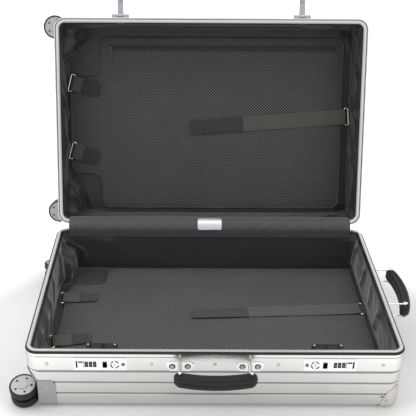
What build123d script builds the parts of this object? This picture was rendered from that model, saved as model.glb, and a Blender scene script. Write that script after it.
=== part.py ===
from build123d import *
from math import cos, hypot, radians, sin
import os

os.makedirs("parts", exist_ok=True)

# A large aluminium suitcase, lying open on its base half. Sizes are millimetres.
# X runs along the case towards the end with the second carrying handle, Y from the front to the
# hinge, and Z up. The origin is the middle of the underside of the base half.
# Each half is drawn with its outside face down. The lid half is then turned over and opened.

# Case halves
case_length = 740.0
case_width = 490.0
base_depth = 136.0
lid_depth = 134.0
corner_radius = 26.0
open_angle = 109.0
fit_gap = 0.3
running_gap = 0.05

# Sheet shells with grooves round the sides and raised bands along the big faces
shell_wall = 1.0
shell_inset = 1.6
shell_edge_radius = 12.0
groove_pitch = 27.6
lowest_groove = 35.0
groove_count = 3
groove_depth = 2.0
groove_half_mouth = 2.9
groove_half_floor = 1.2
sheet_bend_radius = 0.5
band_pitch = 28.0
band_width = 21.0
band_length = 600.0
band_count = 15

# Frames at the mouth of each half
frame_wall = 1.6
skirt_height = 42.0
bead_height = 9.0
bead_groove = 0.8
lip_width = 12.0
lip_rise = 3.0
lip_drop = 24.0
gasket_width = 3.2
gasket_height = 6.0
lid_skirt_gap = 0.4
lid_recess = 4.0
lid_lip_drop = 22.0
rim_side_gap = 0.5
lip_edge_radius = 1.3

# Linings and divider pads. A pad's insets are from the case's outside at its wheel end, its
# handle end, and its two long sides; a tab's are from the wheel end and the two long sides
lining_thickness = 1.5
lining_fold = 6.0
lining_top_gap = 10.0
base_floor = 28.0
lid_floor = 20.0
divider_thickness = 6.0
divider_corner = 22.0
base_pad_insets = (120.0, 20.0, 19.0, 19.0)
base_tab_insets = (32.0, 120.0, 97.0)
lid_pad_insets = (97.0, 35.0, 22.0, 39.0)
lid_tab_insets = (20.0, 111.0, 136.0)

# Straps and rings. Each strap has the Y of its ring, how far its tip is from the outside of the
# end that it starts at, and the Y of its tip; the first starts at the handle end
strap_thickness = 1.6
strap_width = 38.0
strap_tip_radius = 7.6
base_strap_spans = ((49.0, 417.0, 27.0), (89.0, 108.0, 93.0), (-78.0, 108.0, -64.0))
lid_strap_spans = ((13.0, 417.0, -17.0), (92.0, 97.0, 75.0), (-77.0, 92.0, -94.0))
ring_wire = 3.0
ring_length = 46.0
ring_width = 12.0
wall_loop_gap = 5.0

# Wheel housings, swivels and wheels
housing_length = 57.0
housing_height = 67.5
housing_frame_gap = 1.0
housing_chamfer = 8.5
housing_flange = 34.0
housing_wall = 3.0
pocket_length = 21.0
pocket_reach = 49.0
swivel_y = 213.0
swivel_z = 31.3
swivel_trail = 15.0
swivel_stem_radius = 5.0
swivel_boss_radius = 9.0
swivel_boss_length = 10.0
swivel_disc_radius = 12.0
swivel_disc_thickness = 1.9
swivel_disc_gap = 0.3
base_wheel_droop = 14.0
axle_standoff = 10.0
axle_radius = 3.0
wheel_radius = 28.0
wheel_width = 16.5
wheel_edge_radius = 3.3
twin_width = 41.0
fork_wall_gap = 0.4
fork_hub_radius = 10.0
hub_face_radius = 24.0
hub_face_depth = 1.2
hub_hole_radius = 2.6
hub_hole_circle = 16.6
hub_hole_depth = 4.0
hub_hole_count = 5
axle_cap_radius = 9.5
axle_cap_height = 1.0

# Pressed caps on the plain corners
cap_wall = 1.5
cap_reach = 43.0
cap_height = 55.0
cap_step_one = (34.0, 24.0)
cap_step_two = (27.0, 41.0)
cap_top = 10.0

# Hinge
hinge_offset = 8.0
hinge_length = 660.0
knuckle_length = 30.0
knuckle_radius = 4.2
knuckle_gap = 0.4
hinge_pin_radius = 2.0
leaf_thickness = 1.2
leaf_height = 30.0
leaf_tab = 5.0
hinge_crank_rise = 3.36

# Cloth strip over the hinge, inside the case
strip_length = 682.0
strip_thickness = 1.2
strip_inset = 15.1
strip_rise = 4.0
strip_base_tail = 19.0
strip_lid_tail = 22.0

# Combination locks
lock_centre = 223.0
lock_height = 25.5
plate_length = 103.0
plate_height = 29.0
plate_thickness = 1.2
plate_corner = 2.0
lock_case_length = 100.0
lock_case_height = 21.4
lock_case_depth = 18.3
lock_case_wall = 1.3
dial_offset = 18.0
dial_pitch = 8.0
dial_count = 3
dial_width = 6.0
dial_radius = 8.6
dial_stand = 1.0
dial_edge = 0.5
dial_axle_radius = 2.0
dial_window_height = 13.5
dial_web = 1.2
dial_web_setback = 1.0
slot_offset = -9.5
slot_width = 9.0
slot_height = 17.0
key_offset = -29.0
key_radius = 5.4
key_ring_radius = 10.0
key_ring_height = 1.0
key_length = 13.0
key_slot_width = 1.6
keyway_depth = 6.5
key_block_length = 18.0
key_block_depth = 11.0
slider_offset = 37.5
slider_length = 10.0
slider_height = 16.0
slider_stand = 0.8
slider_travel = 4.0
slider_flange = 1.5
slider_flange_side = 1.5
slider_bar_height = 8.0
slider_bar_thickness = 1.2
bolt_nose = 3.6
bolt_reach = 9.15

# Hasps on the lid
hasp_drop = 9.0
hasp_base_width = 40.0
hasp_base_below = 10.2
hasp_base_above = 6.8
hasp_arm_width = 14.0
hasp_arm_thickness = 2.0
hasp_barrel_radius = 4.0
hasp_pin_radius = 1.5
hasp_axis_stand = 5.6
hasp_arm_set = 1.2
hasp_arm_end = 4.0
tongue_size = 6.0
tongue_length = 11.8

# Carrying handles
handle_spacing = 136.0
end_handle_shift = 15.0
handle_drop = 29.5
handle_plate_length = 56.0
handle_plate_height = 23.0
handle_plate_thickness = 2.0
handle_knuckle_radius = 4.0
handle_knuckle_height = 15.0
handle_pivot_stand = 4.4
bail_wire_radius = 1.7
bail_reach = 37.0
bail_height = 31.0
bail_corner = 2.8
bail_loose_gap = 0.3
grip_thickness = 22.0
grip_height = 25.0
grip_bulge = 10.0
grip_end_set = 2.0
grip_overhang = 12.0
grip_edge = 7.0
handle_screw_spacing = 30.0
handle_screw_radius = 4.0
handle_screw_height = 1.6

# Telescopic handle, stowed under the base lining
telescope_y = 70.0
telescope_z = 20.0
guide_width = 20.0
guide_height = 13.0
guide_wall = 1.0
guide_length = 680.0
guide_foot_length = 30.0
tube_gap = 0.2
tube_length = 660.0
bezel_length = 190.0
bezel_height = 22.0
bezel_thickness = 2.4
telescope_grip_length = 172.0
telescope_grip_depth = 14.0
telescope_grip_height = 17.0
telescope_grip_edge = 3.0
button_length = 30.0
button_height = 7.0
button_depth = 5.0
button_stand = 2.0
button_travel = 2.0

# Zip slider on the lid's divider
zip_x = -247.0
zip_y = 180.0
zip_body_length = 10.0
zip_body_width = 8.0
zip_body_height = 3.0
zip_pull_length = 34.0
zip_pull_width = 5.0
zip_pull_thickness = 1.2

# Rivets
rivet_radius = 3.4
rivet_height = 1.2
rivet_edge = 0.7
rivet_margin = 6.8
rivet_line_drop = 26.0
front_rivet_inset = 44.0
front_rivet_spacing = 123.0
end_rivet_inset = 81.7
end_rivet_spacing = 81.7
hinge_rivet_pitch = 60.0

# Sizes that follow from the ones above
total_depth = base_depth + lid_depth
half_length = case_length / 2
half_width = case_width / 2
hinge_y = half_width + hinge_offset
lining_inset = lip_width + fit_gap
lock_z = base_depth - lock_height
handle_z = base_depth - handle_drop
lid_place = (
    Pos(0, hinge_y, base_depth)
    * Rot(-open_angle, 0, 0)
    * Pos(0, -hinge_y, -base_depth)
    * Pos(0, 0, total_depth)
    * Rot(180, 0, 0)
)
in_place = Location((0, 0, 0))


def save(piece, name):
    """Names a finished piece and writes it out"""
    piece.label = name
    export_step(piece, f"parts/{name}.step")


def run_round(outline, radii=0.0):
    """Carries a wall section, given as depths in from the outside and heights, round the case"""
    corner_x = half_length - corner_radius
    corner_y = half_width - corner_radius
    points = [(corner_radius - inward, height) for inward, height in outline]
    end_plane = Plane(origin=(corner_x, corner_y, 0), x_dir=(1, 0, 0), z_dir=(0, -1, 0))
    side_plane = Plane(origin=(corner_x, corner_y, 0), x_dir=(0, 1, 0), z_dir=(1, 0, 0))
    for plane, length in ((end_plane, corner_y), (side_plane, -corner_x)):
        with BuildSketch(plane) as section:
            with BuildLine():
                FilletPolyline(*points, radius=radii, close=True)
            make_face()
        extrude(section.sketch, amount=length)
        if plane is end_plane:
            corner_section = section.sketch
    revolve(corner_section, axis=Axis((corner_x, corner_y, 0), (0, 0, 1)), revolution_arc=90)
    mirror(about=Plane.XZ)
    mirror(about=Plane.YZ)


def rounded_block(inset, bottom, top, edge_radius):
    """Adds a block that follows the case's plan, with its lower edges rounded"""
    with BuildSketch(Plane.XY.offset(bottom)) as plan:
        RectangleRounded(case_length - 2 * inset, case_width - 2 * inset, corner_radius - inset)
    extrude(plan.sketch, amount=top - bottom)
    lowest = edges().group_by(Axis.Z)[0]
    fillet(lowest, edge_radius)


def add_box(x_span, y_span, z_span, mode=Mode.ADD):
    """Adds or cuts a block between two limits on each axis"""
    x_low, x_high = sorted(x_span)
    y_low, y_high = sorted(y_span)
    z_low, z_high = sorted(z_span)
    with BuildSketch(Plane.XY.offset(z_low)) as plan:
        with Locations(((x_low + x_high) / 2, (y_low + y_high) / 2)):
            Rectangle(x_high - x_low, y_high - y_low)
    extrude(plan.sketch, amount=z_high - z_low, mode=mode)


def add_rod(axis_plane, centre, radius, length, mode=Mode.ADD):
    """Adds or cuts a round bar that starts on a plane"""
    with BuildSketch(axis_plane) as section:
        with Locations(centre):
            Circle(radius)
    extrude(section.sketch, amount=length, mode=mode)


# Wheel housing blocks: the same outline is cut from the shell and filled by the housing
pocket_side = swivel_y - pocket_reach
housing_side = pocket_side - housing_wall
flange_side = housing_side - housing_flange


def arch_height(depth):
    """Top of a wheel housing's opening, just under the frame's skirt"""
    return depth - skirt_height - housing_frame_gap


def housing_form(depth, side):
    """The corner of a half that a wheel housing takes up, with its flange on the end face"""
    arch = arch_height(depth)
    outer = -half_length - shell_edge_radius
    inner = -half_length + housing_length
    pocket = -half_length + pocket_length
    slope = (arch - housing_height) / pocket_length
    outer_height = arch + slope * shell_edge_radius
    beyond = half_width + shell_edge_radius
    with BuildPart() as form:
        with BuildSketch(Plane.XZ.offset(-side * beyond)):
            with BuildLine():
                Polyline(
                    (outer, -housing_wall),
                    (inner, -housing_wall),
                    (inner, housing_height - housing_chamfer),
                    (inner - housing_chamfer, housing_height),
                    (pocket, housing_height),
                    (outer, outer_height),
                    close=True,
                )
            make_face()
        extrude(amount=side * (beyond - housing_side))
        with BuildSketch(Plane.YZ.offset(outer)):
            with BuildLine():
                Polyline(
                    (side * housing_side, -housing_wall),
                    (side * flange_side, -housing_wall),
                    (side * flange_side, housing_height - housing_chamfer),
                    (side * (flange_side + housing_chamfer), housing_height),
                    (side * housing_side, housing_height),
                    close=True,
                )
            make_face()
        extrude(amount=pocket - outer)
    return form.part


def make_shell(depth, placed):
    """Pressed sheet shell of one half"""
    top = depth - bead_height + frame_wall / 2 - lid_skirt_gap
    heights = [lowest_groove + step * groove_pitch for step in range(groove_count)]
    outer_face = []
    inner_face = []
    for height in heights:
        for rise, inward in (
            (-groove_half_mouth, 0),
            (-groove_half_floor, groove_depth),
            (groove_half_floor, groove_depth),
            (groove_half_mouth, 0),
        ):
            outer_face.append((shell_inset + inward, height + rise))
            inner_face.append((shell_inset + shell_wall + inward, height + rise))
    flat_end = corner_radius - shell_wall
    outline = (
        [(flat_end, shell_inset), (shell_inset, shell_inset)]
        + outer_face
        + [(shell_inset, top), (shell_inset + shell_wall, top)]
        + inner_face[::-1]
        + [(shell_inset + shell_wall, shell_inset + shell_wall)]
        + [(flat_end, shell_inset + shell_wall)]
    )
    radii = (
        [0, shell_edge_radius]
        + [sheet_bend_radius] * len(outer_face)
        + [0, 0]
        + [sheet_bend_radius] * len(inner_face)
        + [shell_edge_radius - shell_wall, 0]
    )
    with BuildPart() as shell:
        run_round(outline, radii)
        with BuildSketch(Plane.XY.offset(shell_inset)):
            Rectangle(case_length - 2 * flat_end, case_width - 2 * flat_end)
        extrude(amount=shell_wall)
        with BuildSketch(Plane.XY):
            with GridLocations(0, band_pitch, 1, band_count):
                Rectangle(band_length, band_width)
        extrude(amount=shell_inset)
        with BuildSketch(Plane.XY.offset(shell_wall)):
            with GridLocations(0, band_pitch, 1, band_count):
                Rectangle(band_length - 2 * shell_wall, band_width - 2 * shell_wall)
        extrude(amount=shell_inset + fit_gap, mode=Mode.SUBTRACT)
        for side in (-1, 1):
            add(housing_form(depth, side), mode=Mode.SUBTRACT)
        if placed == in_place:
            cut_telescope_openings()
            cut_lock_windows()
    return shell.part.moved(placed)


def cut_lock_windows():
    """Cuts the openings that the two lock cases pass through"""
    for side in (-1, 1):
        middle = side * lock_centre
        reach = lock_case_length / 2 + fit_gap
        rise = lock_case_height / 2 + fit_gap
        add_box(
            (middle - reach, middle + reach),
            (-half_width - lip_width, -half_width + lip_width + lining_thickness),
            (lock_z - rise, lock_z + rise),
            mode=Mode.SUBTRACT,
        )


def cut_telescope_openings():
    """Cuts the openings for the telescopic handle's guides in the end wall"""
    for side in (-1, 1):
        middle = side * telescope_y
        reach = guide_width / 2
        rise = guide_height / 2
        add_box(
            (half_length - corner_radius, half_length + corner_radius),
            (middle - reach, middle + reach),
            (telescope_z - rise, telescope_z + rise),
            mode=Mode.SUBTRACT,
        )


def make_base_frame():
    """Frame of the base half: an outer skirt with a raised inner lip"""
    top = base_depth + lip_rise
    web_top = base_depth - gasket_height
    outline = [
        (0, base_depth - skirt_height),
        (0, base_depth - bead_height - bead_groove),
        (bead_groove, base_depth - bead_height),
        (0, base_depth - bead_height + bead_groove),
        (0, web_top),
        (gasket_width, web_top),
        (gasket_width, top),
        (lip_width, top),
        (lip_width, base_depth - lip_drop),
        (lip_width - frame_wall, base_depth - lip_drop),
        (lip_width - frame_wall, web_top - frame_wall - lid_skirt_gap),
        (frame_wall, web_top - frame_wall - lid_skirt_gap),
        (frame_wall, base_depth - skirt_height),
    ]
    radii = [0] * len(outline)
    radii[6] = radii[7] = lip_edge_radius
    with BuildPart() as frame:
        run_round(outline, radii)
        cut_lock_windows()
    return frame.part


def make_lid_frame():
    """Frame of the lid half, which closes over the base frame's lip"""
    recess_floor = lid_depth - lid_recess
    skirt_foot = lid_depth - lid_skirt_gap
    outline = [
        (0, lid_depth - skirt_height),
        (0, lid_depth - bead_height - bead_groove),
        (bead_groove, lid_depth - bead_height),
        (0, lid_depth - bead_height + bead_groove),
        (0, skirt_foot),
        (gasket_width - rim_side_gap, skirt_foot),
        (gasket_width - rim_side_gap, recess_floor),
        (lip_width, recess_floor),
        (lip_width, lid_depth - lid_lip_drop),
        (lip_width - frame_wall, lid_depth - lid_lip_drop),
        (lip_width - frame_wall, recess_floor - lid_recess),
        (frame_wall, recess_floor - lid_recess),
        (frame_wall, lid_depth - skirt_height),
    ]
    radii = [0] * len(outline)
    radii[7] = lip_edge_radius
    with BuildPart() as frame:
        run_round(outline, radii)
    return frame.part.moved(lid_place)


def make_gasket():
    """Rubber seal that sits on the base frame outside its lip"""
    low = base_depth - gasket_height
    outline = [(0, low), (0, base_depth), (gasket_width, base_depth), (gasket_width, low)]
    with BuildPart() as gasket:
        run_round(outline, [0, lip_edge_radius, 0, 0])
    return gasket.part


def make_housings(depth, placed):
    """Die-cast wheel housings at the two corners of a half's wheel end"""
    housings = []
    arch = arch_height(depth)
    for side in (-1, 1):
        pocket = -half_length + pocket_length
        beyond = half_width + shell_edge_radius
        outer = -half_length - shell_edge_radius
        slope = (arch - housing_height) / pocket_length
        with BuildPart() as hollow:
            inner_edge = shell_edge_radius + shell_inset - housing_wall
            rounded_block(housing_wall, housing_wall, arch, inner_edge)
            add_box(
                (outer, pocket + housing_wall),
                (side * housing_side, side * beyond),
                (-housing_wall, arch + housing_wall),
                mode=Mode.SUBTRACT,
            )
        with BuildPart() as housing:
            rounded_block(0, 0, arch, shell_edge_radius + shell_inset)
            add(housing_form(depth, side), mode=Mode.INTERSECT)
            add(hollow.part, mode=Mode.SUBTRACT)
            with BuildSketch(Plane.XZ.offset(-side * beyond)):
                with BuildLine():
                    Polyline(
                        (outer, -housing_wall),
                        (pocket, -housing_wall),
                        (pocket, housing_height - housing_wall),
                        (outer, arch - housing_wall + slope * shell_edge_radius),
                        close=True,
                    )
                make_face()
            extrude(amount=side * (beyond - pocket_side), mode=Mode.SUBTRACT)
            centre = (side * swivel_y, swivel_z)
            add_rod(Plane.YZ.offset(pocket), centre, swivel_boss_radius, swivel_boss_length)
            add_rod(
                Plane.YZ.offset(pocket),
                centre,
                swivel_stem_radius + running_gap,
                swivel_boss_length,
                mode=Mode.SUBTRACT,
            )
        housings.append(housing.part)
    return Compound(children=housings).moved(placed)


def make_caps(placed):
    """Pressed caps with stepped edges on the two plain corners of a half"""
    caps = []
    steps = [(cap_reach, 0), cap_step_one, cap_step_two, (cap_top, cap_height)]
    for side in (-1, 1):
        with BuildPart() as cap:
            rounded_block(0, 0, cap_height, shell_edge_radius + shell_inset)
            rounded_inner = shell_edge_radius + shell_inset - cap_wall
            with BuildSketch(Plane.XZ.offset(-case_width)):
                with BuildLine():
                    Polyline(
                        *[(half_length - reach, height) for reach, height in steps],
                        (half_length, cap_height),
                        (half_length, 0),
                        close=True,
                    )
                make_face()
            extrude(amount=2 * case_width, mode=Mode.INTERSECT)
            with BuildSketch(Plane.YZ):
                with BuildLine():
                    Polyline(
                        *[(side * (half_width - reach), height) for reach, height in steps],
                        (side * half_width, cap_height),
                        (side * half_width, 0),
                        close=True,
                    )
                make_face()
            extrude(amount=case_length, mode=Mode.INTERSECT)
            add(inner_block(cap_wall, rounded_inner), mode=Mode.SUBTRACT)
        caps.append(cap.part)
    return Compound(children=caps).moved(placed)


def inner_block(inset, edge_radius):
    """The space inside a skin of one thickness"""
    with BuildPart() as block:
        rounded_block(inset, inset, case_width, edge_radius)
    return block.part


def make_lining(depth, floor, placed):
    """Sewn lining tray, which steps round the wheel housings"""
    room_x = -half_length + pocket_length + swivel_boss_length + housing_wall
    room_y = housing_side - housing_wall
    with BuildPart() as lining:
        rounded_block(lining_inset, floor, depth - lining_top_gap, lining_fold)
        for side in (-1, 1):
            add_box(
                (-case_length, room_x),
                (side * room_y, side * case_width),
                (0, arch_height(base_depth) + housing_wall),
                mode=Mode.SUBTRACT,
            )
        mouth = faces().sort_by(Axis.Z)[-1]
        offset(amount=-lining_thickness, openings=mouth)
        if placed == in_place:
            cut_lock_notches(depth)
    return lining.part.moved(placed)


def cut_lock_notches(depth):
    """Opens the lining's front wall round the two lock cases"""
    for side in (-1, 1):
        middle = side * lock_centre
        reach = lock_case_length / 2 + fit_gap
        add_box(
            (middle - reach, middle + reach),
            (-half_width, -half_width + lock_case_depth + fit_gap),
            (lock_z - lock_case_height / 2 - fit_gap, depth),
            mode=Mode.SUBTRACT,
        )


def make_divider(pad_insets, tab_insets, floor, placed):
    """Stiff mesh pad with a tab at the wheel end"""
    level = floor + lining_thickness + fit_gap
    pad_start = -half_length + pad_insets[0]
    pad_end = half_length - pad_insets[1]
    pad = (pad_start, pad_end, -half_width + pad_insets[2], half_width - pad_insets[3])
    tab_start = -half_length + tab_insets[0]
    tab_end = pad_start + divider_corner
    tab = (tab_start, tab_end, -half_width + tab_insets[1], half_width - tab_insets[2])
    with BuildPart() as divider:
        with BuildSketch(Plane.XY.offset(level)):
            for x_low, x_high, y_low, y_high in (pad, tab):
                with Locations(((x_low + x_high) / 2, (y_low + y_high) / 2)):
                    Rectangle(x_high - x_low, y_high - y_low)
            fillet(vertices(), divider_corner)
        extrude(amount=divider_thickness)
    return divider.part.moved(placed)


def strap_runs(spans):
    """Ring end and tip of each strap of a half"""
    wall = half_length - lining_inset - lining_thickness
    start = wall - wall_loop_gap - ring_width
    runs = []
    for end, (ring_y, tip_inset, tip_y) in zip((1, -1, -1), spans):
        runs.append(((end * start, ring_y), (end * (half_length - tip_inset), tip_y)))
    return runs


def make_straps(runs, level, placed):
    """Flat webbing straps, each from its ring end to its tip"""
    straps = []
    for ring_end, tip in runs:
        along = Vector(tip[0] - ring_end[0], tip[1] - ring_end[1])
        home = Plane(origin=(ring_end[0], ring_end[1], level), x_dir=along.normalized())
        with BuildPart() as strap:
            with BuildSketch(home):
                with Locations((along.length / 2, 0)):
                    Rectangle(along.length, strap_width)
            extrude(amount=strap_thickness)
            tips = edges().filter_by(Axis.Z).sort_by_distance(tip)[:2]
            fillet(tips, strap_tip_radius)
        straps.append(strap.part)
    return Compound(children=straps).moved(placed)


def make_rings(runs, level, placed):
    """Wire rings that hold the straps' ends to the lining's end walls"""
    rings = []
    for ring_end, tip in runs:
        along = Vector(tip[0] - ring_end[0], tip[1] - ring_end[1])
        home = Plane(origin=(ring_end[0], ring_end[1], level), x_dir=along.normalized())
        with BuildPart() as ring:
            with BuildSketch(home):
                with Locations((-ring_width / 2 - fit_gap, 0)):
                    RectangleRounded(ring_width, ring_length, ring_width / 2 - fit_gap)
                    RectangleRounded(
                        ring_width - 2 * ring_wire,
                        ring_length - 2 * ring_wire,
                        ring_width / 2 - ring_wire - fit_gap,
                        mode=Mode.SUBTRACT,
                    )
            extrude(amount=ring_wire)
            face_edges = edges().group_by(Axis.Z)[0] + edges().group_by(Axis.Z)[-1]
            fillet(face_edges, ring_wire / 2 - running_gap)
        rings.append(ring.part)
    return Compound(children=rings).moved(placed)


def make_wheel_set(side, droop, placed):
    """One castor: a swivel fork on a stem, and a pair of wheels on its axle"""
    trail_y = side * cos(radians(droop))
    trail_z = -sin(radians(droop))
    pocket = -half_length + pocket_length
    axle_x = -half_length - axle_standoff
    axle = Vector(axle_x, side * swivel_y + swivel_trail * trail_y, swivel_z + swivel_trail * trail_z)
    across = Vector(0, -trail_z, trail_y)
    fork_width = twin_width - 2 * wheel_width - 2 * fork_wall_gap
    disc_face = pocket - swivel_disc_gap
    middle = Plane(origin=axle, x_dir=(1, 0, 0), z_dir=across)
    with BuildPart() as fork:
        add_rod(
            Plane.YZ.offset(disc_face - swivel_disc_thickness),
            (side * swivel_y, swivel_z),
            swivel_disc_radius,
            swivel_disc_thickness,
        )
        add_rod(
            Plane.YZ.offset(disc_face),
            (side * swivel_y, swivel_z),
            swivel_stem_radius,
            swivel_boss_length + swivel_disc_gap,
        )
        towards = middle.to_local_coords(Vector(disc_face, side * swivel_y, swivel_z))
        with BuildSketch(middle.offset(-fork_width / 2)):
            with BuildLine():
                Polyline(
                    (0, fork_hub_radius),
                    (0, -fork_hub_radius),
                    (towards.X - running_gap, towards.Y - fork_hub_radius),
                    (towards.X - running_gap, towards.Y + fork_hub_radius),
                    close=True,
                )
            make_face()
            Circle(fork_hub_radius)
        extrude(amount=fork_width)
        with BuildSketch(middle.offset(-twin_width / 2 - fit_gap)):
            Circle(axle_radius)
        extrude(amount=twin_width + 2 * fit_gap)
        for end in (-1, 1):
            cap_start = end * (twin_width / 2 - hub_face_depth + fork_wall_gap)
            with BuildSketch(middle.offset(cap_start)):
                Circle(axle_cap_radius)
            extrude(amount=end * axle_cap_height)
    with BuildPart() as wheels:
        for end in (-1, 1):
            with BuildSketch(middle.offset(end * (twin_width / 2 - wheel_width))):
                Circle(wheel_radius)
                Circle(axle_radius + running_gap, mode=Mode.SUBTRACT)
            extrude(amount=end * wheel_width)
        circles = edges().filter_by(GeomType.CIRCLE)
        fillet(circles.filter_by(lambda rim: rim.radius > fork_hub_radius), wheel_edge_radius)
        for end in (-1, 1):
            outer_face = middle.offset(end * twin_width / 2)
            with BuildSketch(outer_face):
                Circle(hub_face_radius)
            extrude(amount=-end * hub_face_depth, mode=Mode.SUBTRACT)
            with BuildSketch(outer_face):
                with PolarLocations(hub_hole_circle, hub_hole_count):
                    Circle(hub_hole_radius)
            extrude(amount=-end * (hub_face_depth + hub_hole_depth), mode=Mode.SUBTRACT)
    return fork.part.moved(placed), wheels.part.moved(placed)


def hinge_section(start, up, corners):
    """Section of a hinge leaf's cranked tab across the case, with the corners that close it"""
    edge = base_depth + up * lid_skirt_gap
    with BuildSketch(Plane.YZ.offset(start)) as section:
        with BuildLine():
            Polyline(
                (hinge_y, edge),
                (hinge_y, base_depth + up * hinge_crank_rise),
                (half_width + leaf_thickness, base_depth + up * leaf_tab),
                *corners,
                close=True,
            )
        make_face()
    return section.sketch


def make_hinge_leaf(up):
    """One leaf of the long hinge; the leaves' knuckles take turns along the pin"""
    first = 0 if up < 0 else 1
    knuckle_count = int(hinge_length / knuckle_length)
    clear = knuckle_radius + knuckle_gap
    end = -hinge_length / 2
    end_plane = Plane.YZ.offset(end)
    axis_point = (hinge_y, base_depth)
    leaf_face = half_width + leaf_thickness
    top = base_depth + up * leaf_height
    edge = base_depth + up * lid_skirt_gap
    leaf_corners = [(leaf_face, top), (half_width, top), (half_width, edge)]
    with BuildPart() as leaf:
        extrude(hinge_section(end, up, leaf_corners), amount=hinge_length)
        add_rod(end_plane, axis_point, clear, hinge_length, mode=Mode.SUBTRACT)
        for step in range(first, knuckle_count, 2):
            start = end + step * knuckle_length + knuckle_gap / 2
            width = knuckle_length - knuckle_gap
            add_rod(Plane.YZ.offset(start), axis_point, knuckle_radius, width)
            extrude(hinge_section(start, up, [(leaf_face, edge)]), amount=width)
        bore = hinge_pin_radius + running_gap
        add_rod(end_plane, axis_point, bore, hinge_length, mode=Mode.SUBTRACT)
    return leaf.part


def make_cover_strip():
    """Cloth strip that bulges over both rims and hangs down inside each half"""
    reach = hinge_offset + strip_inset
    radius = hypot(reach, strip_rise)
    base_top = Vector(-reach, strip_rise)
    lid_start = Vector(-reach, strip_rise).rotate(Axis.Z, -open_angle)
    lid_end = Vector(-reach, strip_rise + strip_lid_tail).rotate(Axis.Z, -open_angle)
    crown = Vector(0, radius).rotate(Axis.Z, (90 - open_angle / 2) / 2)
    start = (-strip_length / 2, hinge_y, base_depth)
    hinge_line = Plane(origin=start, x_dir=(0, 1, 0), z_dir=(1, 0, 0))
    with BuildPart() as strip:
        with BuildSketch(hinge_line):
            with BuildLine():
                Line(base_top - Vector(0, strip_base_tail), base_top)
                ThreePointArc(base_top, crown, lid_start)
                Line(lid_start, lid_end)
            trace(line_width=strip_thickness)
        extrude(amount=strip_length)
    return strip.part


def lock_spot(side, along):
    """Place along the front of something at a distance from a lock's middle"""
    return side * (lock_centre + along)


def make_lock_plates():
    """Face plates of the two locks, with windows for the slider, dials, hasp and key"""
    plates = []
    front = Plane.XZ.offset(half_width)
    for side in (-1, 1):
        with BuildPart() as plate:
            with BuildSketch(front):
                with Locations((lock_spot(side, 0), lock_z)):
                    RectangleRounded(plate_length, plate_height, plate_corner)
            extrude(amount=plate_thickness)
            ring_centre = (lock_spot(side, key_offset), lock_z)
            add_rod(front.offset(plate_thickness), ring_centre, key_ring_radius, key_ring_height)
            with BuildSketch(front):
                for step in range(dial_count):
                    along = dial_offset + (step - (dial_count - 1) / 2) * dial_pitch
                    with Locations((lock_spot(side, along), lock_z)):
                        Rectangle(dial_width + 2 * fit_gap, dial_window_height)
                with Locations((lock_spot(side, slot_offset), lock_z)):
                    RectangleRounded(slot_width, slot_height, plate_corner)
                with Locations(ring_centre):
                    Circle(key_radius + running_gap)
                with Locations((lock_spot(side, slider_offset + slider_travel / 2), lock_z)):
                    Rectangle(slider_length + slider_travel + fit_gap * 2, slider_height + fit_gap)
            extrude(amount=plate_thickness + key_ring_height, mode=Mode.SUBTRACT)
        plates.append(plate.part)
    return Compound(children=plates)


def make_lock_cases():
    """Cases behind the plates, with the dial axles and the key cylinder's seat"""
    cases = []
    half_case = lock_case_length / 2
    rise = lock_case_height / 2
    inner_rise = rise - lock_case_wall
    front_y = -half_width + fit_gap / 2
    back_y = -half_width + lock_case_depth
    dial_y = -half_width - plate_thickness - dial_stand + dial_radius
    dials_half = dial_pitch * (dial_count - 1) / 2 + dial_width / 2 + fit_gap
    web_depth = dial_radius - dial_web_setback
    for side in (-1, 1):
        with BuildPart() as case:
            add_box(
                (lock_spot(side, -half_case), lock_spot(side, half_case)),
                (front_y, back_y),
                (lock_z - rise, lock_z + rise),
            )
            inner_half = half_case - lock_case_wall
            add_box(
                (lock_spot(side, -inner_half), lock_spot(side, inner_half)),
                (front_y, back_y - lock_case_wall),
                (lock_z - inner_rise, lock_z + inner_rise),
                mode=Mode.SUBTRACT,
            )
            web_low = dial_offset - dials_half - dial_web
            web_high = dial_offset + dials_half
            for web_start in (web_low, web_high):
                add_box(
                    (lock_spot(side, web_start), lock_spot(side, web_start + dial_web)),
                    (front_y, dial_y + web_depth),
                    (lock_z - inner_rise, lock_z + inner_rise),
                )
            axle_start = min(lock_spot(side, web_low), lock_spot(side, web_high + dial_web))
            axle_length = 2 * dials_half + 2 * dial_web
            add_rod(Plane.YZ.offset(axle_start), (dial_y, lock_z), dial_axle_radius, axle_length)
            key_low = key_offset - key_block_length / 2
            add_box(
                (lock_spot(side, key_low), lock_spot(side, key_low + key_block_length)),
                (front_y, front_y + key_block_depth),
                (lock_z - inner_rise, lock_z + inner_rise),
            )
            add_rod(
                Plane.XZ.offset(half_width),
                (lock_spot(side, key_offset), lock_z),
                key_radius + running_gap,
                -key_block_depth - fit_gap,
                mode=Mode.SUBTRACT,
            )
        cases.append(case.part)
    return Compound(children=cases)


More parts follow.
